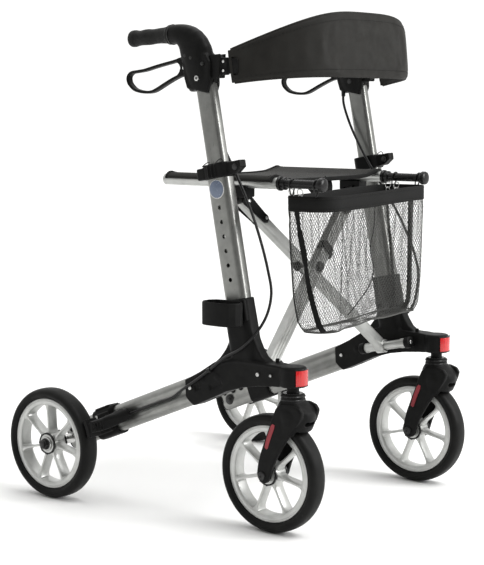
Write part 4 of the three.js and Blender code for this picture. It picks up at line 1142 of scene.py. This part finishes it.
# ---------------------------------------------------------------- back strap
def back_line(q):
    a = min(1.0, abs(q))
    return np.array([138 + 122 * (1 - a ** 4.2) ** 1.05, YU * q, 0.0])


def back_frame(t):
    p = back_line(t)
    d = unit(back_line(min(1, t + 0.01)) - back_line(max(-1, t - 0.01)))
    zb, zt = 743 + 12 * (1 - abs(t) ** 6), 797 + 66 * (1 - abs(t) ** 3.3)
    return p, np.array([d[1], -d[0], 0]), zb, zt - zb


stations = [math.copysign(1 - (1 - abs(s)) ** 1.15, s) for s in np.linspace(-1, 1, 121)]
HALF = 20
levels = (1 - np.cos(np.linspace(0, math.pi, HALF))) / 2
levels = 0.5 * levels + 0.5 * np.linspace(0, 1, HALF)
SEAMS = (0.105, 0.895)


def half_thickness(v):
    body = 2.3 + 4.3 * max(0.0, 1 - abs(2 * v - 1) ** 5) ** 0.5
    for seam in SEAMS:
        body -= 0.55 * math.exp(-((v - seam) / 0.02) ** 2)
    return body


rows = []
for t in stations:
    p, n, zb, h = back_frame(t)
    taper = 1 - 0.35 * abs(t) ** 14
    ring = [(half_thickness(v) * taper, v) for v in levels]
    ring += [(-u, v) for u, v in ring[::-1]]
    rows.append([p + n * u + np.array([-9 * v, 0, zb + 1.2 + (h - 2.4) * v]) for u, v in ring])
rows = np.array(rows)
count = rows.shape[1]
shell = Shape().skin(list(rows))
pins_w = np.zeros(len(shell.v))
for i in range(len(stations)):
    for j in range(count):
        if j in (0, HALF - 1, HALF, count - 1) or i in (0, 1, len(stations) - 2, len(stations) - 1):
            pins_w[i * count + j] = 1.0
points = relaxed(shell.v, shell.f, "back_cloth", pins_w, 14, 0.0, pressure=2.2, gravity=0.0, cap=2.6, stiff=20.0,
    bend=1.5)
back_ob = loose(Shape().add(points, shell.f), "back_strap", "back", "backrest_textile", 60, ["backrest"])
# pockets for the brackets' blocks and tongues
pocket = [(95, -4.9), (131.2, -4.9), (131.2, -1.9), (150.5, -1.9)]
pocket += [(x, -y) for x, y in pocket[::-1]]
tongue_room = Shape()
for s in (-1, 1):
    tongue_room.prism(pocket, (0, s * YU, 0), X, Y, 756.6, 786.4)
cutter = placed("cutter", mesh_of(tongue_room, "cutter"))
cut = back_ob.modifiers.new("pocket", "BOOLEAN")
cut.operation, cut.object, cut.solver = "DIFFERENCE", cutter, "EXACT"
baked(back_ob)
bpy.data.objects.remove(cutter)
back_ob.data.shade_smooth()
back_ob.data.set_sharp_from_angle(angle=math.radians(50))
piping = Shape()
frames = [back_frame(t) for t in stations[1:-1]]
piping.sweep([p + np.array([-9 * 0.0, 0, zb + 1.0]) for p, n, zb, h in frames], circle(2.5, 12))
piping.sweep([p + np.array([-9 * 1.0, 0, zb + (h - 1.0)]) for p, n, zb, h in frames], circle(2.7, 12))
for t in (-0.995, 0.995):
    p, n, zb, h = back_frame(t)
    piping.sweep([p + np.array([-9 * v, 0, zb + 1 + (h - 2) * v]) for v in np.linspace(0, 1, 12)],
        circle(2.9, 12, 4.6), up=n)
back_parts = [loose(piping, "back_strap_piping", "back", "backrest_textile")]


def on_back(t, v, face):
    """Point just outside the sewn channel v of the back strap."""
    p, n, zb, h = back_frame(t)
    return p + n * face * (half_thickness(v) + 0.55) + np.array([-9 * v, 0, zb + 1.2 + (h - 2.4) * v])


seams = Shape()
for v in SEAMS:
    for face in (-1, 1):
        for t in np.linspace(-0.97, 0.97, 108):
            seams.rod(on_back(t, v, face), on_back(t + 0.0095, v, face), 0.36, 6)
back_parts.append(loose(seams, "back_strap_stitching", "hem", "backrest_textile"))
for ob in [back_ob] + back_parts:
    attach(ob, "handle_right")
    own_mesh(ob)

# ---------------------------------------------------------------- net bag
BAG = np.array([(561, 196, 284, 155), (536, 197, 284, 155), (470, 201, 284, 152), (400, 206, 284, 148),
    (356, 212, 283, 143), (338, 220, 276, 136)], float)


def bag_section(z, inset=0.0):
    xa, xb, hy = (np.interp(z, BAG[::-1, 0], BAG[::-1, k]) for k in (1, 2, 3))
    return (xa + xb) / 2, (xb - xa) / 2 - inset, hy - inset


def bag_ring(z, n, inset=0.0):
    """n evenly spaced points round the bag at height z, from the rear right corner; the front ones are softer."""
    cx, hx, hy = bag_section(z, inset)
    ring = []
    for sx, sy, r, a in ((-1, -1, 13, 180), (1, -1, 36, 270), (1, 1, 18, 0), (-1, 1, 13, 90)):
        turn = np.radians(a + 15 * np.arange(7))
        ring.append(np.stack([sx * (hx - r) + r * np.cos(turn), sy * (hy - r) + r * np.sin(turn)], 1))
    ring = np.vstack(ring)
    ring = np.vstack([ring, ring[:1]])
    run = np.concatenate([[0], np.cumsum(np.linalg.norm(np.diff(ring, axis=0), axis=1))])
    at = np.linspace(0, run[-1], n, endpoint=False)
    return np.stack([cx + np.interp(at, run, ring[:, 0]), np.interp(at, run, ring[:, 1]), np.full(n, z)], 1)


AROUND, DOWN, TOP, BOTTOM = 104, 26, 558, 340.5
heights = np.linspace(TOP, BOTTOM, DOWN)
wall_rows = [bag_ring(z, AROUND, 1.4) for z in heights]
floor_rows = [wall_rows[-1] * [1, 1, 0] * k + np.array([248 * (1 - k), 0, 0]) + Z * (BOTTOM - 3.0 * (1 - k))
    for k in (0.86, 0.66, 0.44, 0.22, 0.06)]
bag_points = np.vstack(wall_rows + floor_rows)
total_rows = DOWN + len(floor_rows)
faces = grid_faces(total_rows, AROUND, True)
pin = [1.0 if i < 4 else 0.0 for i in range(total_rows) for j in range(AROUND)]
bag_points = relaxed(bag_points, faces, "bag_cloth", pin, 24, -0.055, gravity=1.0, cap=9.0, stiff=6.0, bend=0.15)
bag_points[:, 2] = np.maximum(bag_points[:, 2], 334)


def hung(points):
    """The bag hangs a little lower at its right end."""
    points[:, 2] += points[:, 1] * (0.028 + 0.00009 * (559 - points[:, 2]))
    return points


bag_points = hung(bag_points)
rows = bag_points.reshape(total_rows, AROUND, 3)


def on_bag(u, v, lift=0.0):
    """Point of the bag: u goes from 0 to 1 round it, v from 0 at the rim to total_rows - 1 mid floor."""
    u = np.atleast_1d(np.asarray(u, float)) % 1.0 * AROUND
    v = np.clip(np.atleast_1d(np.asarray(v, float)), 0, total_rows - 1.001)
    i, j = v.astype(int), u.astype(int) % AROUND
    fu, fv = (u - np.floor(u))[:, None], (v - i)[:, None]
    k = (j + 1) % AROUND
    above = rows[i, j] * (1 - fu) + rows[i, k] * fu
    below = rows[i + 1, j] * (1 - fu) + rows[i + 1, k] * fu
    p = above * (1 - fv) + below * fv
    if lift:
        across = rows[i, k] - rows[i, j]
        down = rows[i + 1, j] - rows[i, j]
        n = np.cross(across, down)
        n /= np.maximum(np.linalg.norm(n, axis=1)[:, None], 1e-9)
        outward = np.sign(((p - np.array([243, 0, 440])) * n).sum(1))[:, None]
        p = p + n * outward * lift
    return p


def threads(pairs_a, pairs_b, width):
    """Three-sided threads between two lists of points, as vertices and faces."""
    d = pairs_b - pairs_a
    d /= np.maximum(np.linalg.norm(d, axis=1)[:, None], 1e-9)
    ref = np.where(np.abs(d[:, 2:3]) < 0.9, Z, X)
    e1 = np.cross(ref, d)
    e1 /= np.linalg.norm(e1, axis=1)[:, None]
    e2 = np.cross(d, e1)
    verts = []
    for p in (pairs_a, pairs_b):
        for k in range(3):
            a = 2 * math.pi * k / 3
            verts.append(p + (e1 * math.cos(a) + e2 * math.sin(a)) * width / 2)
    verts = np.stack(verts, 1).reshape(-1, 3)
    base = np.arange(len(d)) * 6
    quads = np.concatenate([np.stack([base + k, base + (k + 1) % 3, base + 3 + (k + 1) % 3, base + 3 + k], 1)
        for k in range(3)])
    return verts, quads


NET_U, NET_V, THREAD = 152, 48, 0.74
vs = np.linspace(2.2, DOWN - 1 + 0.2, NET_V)
a_list, b_list = [], []
for r in range(NET_V - 1):
    u0 = (np.arange(NET_U) + 0.5 * (r % 2)) / NET_U
    for step in (-0.5, 0.5):
        a_list.append(on_bag(u0, np.full(NET_U, vs[r])))
        b_list.append(on_bag(u0 + step / NET_U, np.full(NET_U, vs[r + 1])))
vf = np.linspace(DOWN - 1 + 0.2, total_rows - 1.2, 9)
for r in range(8):
    keep = np.arange(0, NET_U, 1 if r < 2 else (2 if r < 5 else 4))
    a_list.append(on_bag((keep + 0.5 * (r % 2)) / NET_U, np.full(len(keep), vf[r])))
    b_list.append(on_bag((keep + 0.5 - 0.5 * (r % 2)) / NET_U, np.full(len(keep), vf[r + 1])))
verts, quads = threads(np.vstack(a_list), np.vstack(b_list), THREAD)
net_me = bpy.data.meshes.new("bag_net")
net_me.from_pydata((verts * MM).tolist(), [], quads.tolist())
net_me.shade_smooth()
net_ob = placed("bag_net", net_me)
net_me.materials.append(M["net"])
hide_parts("bag")


def ribbon(points, width, thick, facing):
    """Flat tape along points, its width square to the surface normal given for each point."""
    points = np.asarray(points, float)
    t = np.gradient(points, axis=0)
    t /= np.linalg.norm(t, axis=1)[:, None]
    rings = []
    for i, p in enumerate(points):
        n = facing[i]
        n = unit(n - t[i] * (n @ t[i]))
        rings.append(put(rrect(width, thick, thick * 0.42, 3), p, np.cross(t[i], n), n))
    return rings


def facing_at(u, v):
    return unit((on_bag(u, v, 1.0) - on_bag(u, v))[0])


# rim: a wide doubled webbing with a turned edge and two rows of stitches
RIM_N, STITCHES, BOUND = 208, 240, 160


def row_of(z):
    return (TOP - z) / (TOP - BOTTOM) * (DOWN - 1)


rim_rows = []
round_rim = np.arange(RIM_N) / RIM_N
for z, out in ((560.2, 0.5), (561, 1.3), (560.2, 2.2), (548, 2.5), (536.2, 2.3), (535.2, 1.5), (536.2, 0.4),
        (548, 0.2)):
    v = np.full(RIM_N, max(row_of(z), 0.0))
    base = on_bag(round_rim, v)
    ring = base + (on_bag(round_rim, v, 1.0) - base) * (out - 0.6)
    ring[:, 2] = z + 0.5 * np.sin(round_rim * 2 * math.pi * 3)
    rim_rows.append(hung(ring))
bag_parts = [loose(Shape().skin(rim_rows, loop=True), "bag_rim", "hem", "net", 60)]
stitch = Shape()
for z in (557.5, 538.5):
    for k in range(STITCHES):
        p = on_bag([k / STITCHES, (k + 0.62) / STITCHES], np.full(2, max(row_of(z), 0.02)), 2.3)
        p[:, 2] = z
        hung(p)
        stitch.rod(p[0], p[1], 0.36, 6)
bag_parts.append(loose(stitch, "bag_rim_stitching", "seat", "net"))


def u_at(x, y):
    """Share round the bag of the rim point nearest to x, y."""
    ring = rows[2]
    return float(np.argmin((ring[:, 0] - x) ** 2 + (ring[:, 1] - y) ** 2)) / AROUND


tapes = Shape()
TAPES = ((217, -155), (274, -134), 10), ((249, 155), (246, 136), 10), ((196, -150), (220, -134), 5), ((196, 150),
    (220, 134), 5)
for start, foot, width in TAPES:
    ua = u_at(*start)
    best = min(range(AROUND), key=lambda j: np.linalg.norm(rows[DOWN - 1][j][:2] - np.array(foot))) / AROUND
    if best - ua > 0.5:
        best -= 1
    if ua - best > 0.5:
        best += 1
    share = np.linspace(0, 1, 30)
    us, vv = ua + (best - ua) * share, 1.6 + (DOWN - 1.2) * share
    pts = np.vstack([on_bag(u, v, 1.0) for u, v in zip(us, vv)])
    tapes.skin(ribbon(pts, width, 1.3, [facing_at(u, v) for u, v in zip(us, vv)]))
bag_parts.append(loose(tapes, "bag_tapes", "hem", "net"))
seam = Shape()
for row, lift, r, n in ((DOWN - 1.0, 0.4, 1.3, 8), (2.4, 0.3, 0.8, 6)):
    seam.sweep(np.vstack([on_bag(k / BOUND, row, lift) for k in range(BOUND)]), circle(r, n), closed=True)
bag_parts.append(loose(seam, "bag_seam_binding", "net", "net"))
elastic = Shape().sweep(spline([(262, 18, 545), (266, 10, 500), (264, 2, 460), (262, 16, 425), (255, 14, 395),
    (246, -14, 362), (240, -30, 345)], step=5), circle(1.1, 8))
bag_parts.append(loose(elastic, "bag_elastic", "cable", "net"))
# loops of cord round the carriers, and snap hooks; both hold up the rim
loops, hooks = Shape(), Shape()
for s in (-1, 1):
    for x in (212, 262):
        a = np.linspace(0, 2 * math.pi, 26, endpoint=False)
        up, reach = np.sin(a), s * (rod_r + 1.4) * np.cos(a)
        z = np.where(up > 0, SEAT_Z + (rod_r + 1.4) * up, SEAT_Z + 20.5 * up)
        y = np.where(up > 0, s * SEAT_Y + reach, s * (SEAT_Y - 3.4 * -up) + reach * (1 + 0.5 * up))
        loops.sweep(np.stack([x + 2.2 * up, y, z], 1), circle(1.25, 8), closed=True)
    for x in (204, 222):
        a = np.linspace(0, 2 * math.pi, 28, endpoint=False)
        y, z, ca, sa = s * 146, 563, np.cos(a), np.sin(a)
        hooks.sweep(np.stack([x + 5.6 * ca, y + s * 1.4 * sa, z + 5.6 * sa], 1), circle(0.95, 10), closed=True)
        hooks.sweep(np.stack([x + 1.2 * ca, y + 4.4 * ca, z - 9 + 4.8 * sa], 1), circle(0.95, 10), closed=True)
loop_ob = loose(loops, "bag_hanging_loops", "cable", "net")
hook_ob = loose(hooks, "bag_snap_hooks", "steel", "steel")
for ob in [net_ob, loop_ob, hook_ob] + bag_parts:
    folding(ob)

# ---------------------------------------------------------------- brake cables
route = [(57, -211, 731), (62, -205, 712), (80, -201, 672), (108, -199.5, 625), (150, -204, 560), (186, -214, 500),
    (212, -221, 440), (222, -224, 400), (216, -230, 362), (200, -242, 330), (178, -247, 308), (140, -245, 288),
    (104, -243.5, 262), (72, -242.6, 240), (54, -242.8, 228.5), (42, -241.9, 221)]
for d in (50, 20, -30, -60):
    p = tube_at(d)
    route.append((p[0], -YU - 12.7, p[2]))
cable = Shape().sweep(spline(route, step=4), circle(2.4, 14))
cable.rod((56.2, -212, 735), (58.6, -209.6, 724), 3.8, 20, 0.8)
cable_me = mesh_of(cable, "brake_cable_sheath", 50)
for side in SIDES:
    me = cable_me if side == "right" else flipped(cable_me, "brake_cable_sheath_left")
    ob = placed(f"brake_cable_sheath_{side}", me)
    if not me.materials:
        me.materials.append(M["cable"])
    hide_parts(f"brake_cable_{side}")
    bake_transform(ob)
p = np.array(route[12])
clip = Shape().sweep(np.array([p - unit(TD) * 4, p + unit(TD) * 4]), circle(4.2, 20))
clip.rod(p + Y * 1.5, p + Y * 5.2, 4.0, 20, 0.4)
pair("cable_clip", clip, "gloss", "frame")

# ---------------------------------------------------------------- floor and light
floor_me = bpy.data.meshes.new("floor")
floor_me.from_pydata([(-30, -30, -0.0004), (30, -30, -0.0004), (30, 30, -0.0004), (-30, 30, -0.0004)], [],
    [(0, 1, 2, 3)])
floor = placed("floor", floor_me)
floor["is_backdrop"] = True
paper, nt, sh, at = node_tree("pale_floor")
nt.links.new(ramp(nt, noise(nt, at, 3, 2), [(0.3, (0.90, 0.90, 0.895)), (0.7, (0.92, 0.92, 0.915))]),
    sh.inputs["Base Color"])
preset(sh, Roughness=0.8, Specular_IOR_Level=0.1)
floor_me.materials.append(paper)

world = bpy.data.worlds.new("studio")
world.use_nodes = True
nt = world.node_tree
way = nt.nodes.new("ShaderNodeTexCoord")
dot = nt.nodes.new("ShaderNodeVectorMath")
dot.operation = "DOT_PRODUCT"
dot.inputs[1].default_value = (-0.45, 0.60, 0.66)
nt.links.new(way.outputs["Generated"], dot.inputs[0])
glow = nt.nodes.new("ShaderNodeMapRange")
for key, value in (("From Min", -0.62), ("From Max", 0.5), ("To Min", 0.09), ("To Max", 1.1)):
    glow.inputs[key].default_value = value
nt.links.new(dot.outputs["Value"], glow.inputs["Value"])
nt.nodes["Background"].inputs["Color"].default_value = (1.0, 1.0, 0.99, 1)
nt.links.new(glow.outputs["Result"], nt.nodes["Background"].inputs["Strength"])
scene.world = world


def lamp(name, kind, spot, energy, size):
    """A light at spot that looks at the middle of the object."""
    data = bpy.data.lights.new(name, kind)
    data.energy = energy
    if kind == "SUN":
        data.angle = size
    else:
        data.size = size
    ob = placed(name, data)
    ob.location = spot
    ob.rotation_mode = "QUATERNION"
    ob.rotation_quaternion = (Vector((0, 0, 0.4)) - Vector(spot)).to_track_quat("-Z", "Y")


lamp("key", "SUN", (1.9, 0.5, 3.2), 1.5, math.radians(24))
lamp("rim", "AREA", (2.4, 1.2, 1.2), 32, 0.9)
lamp("top", "AREA", (-0.4, 0.5, 2.6), 10, 1.4)
scene.view_settings.view_transform = "Standard"

low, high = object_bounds()
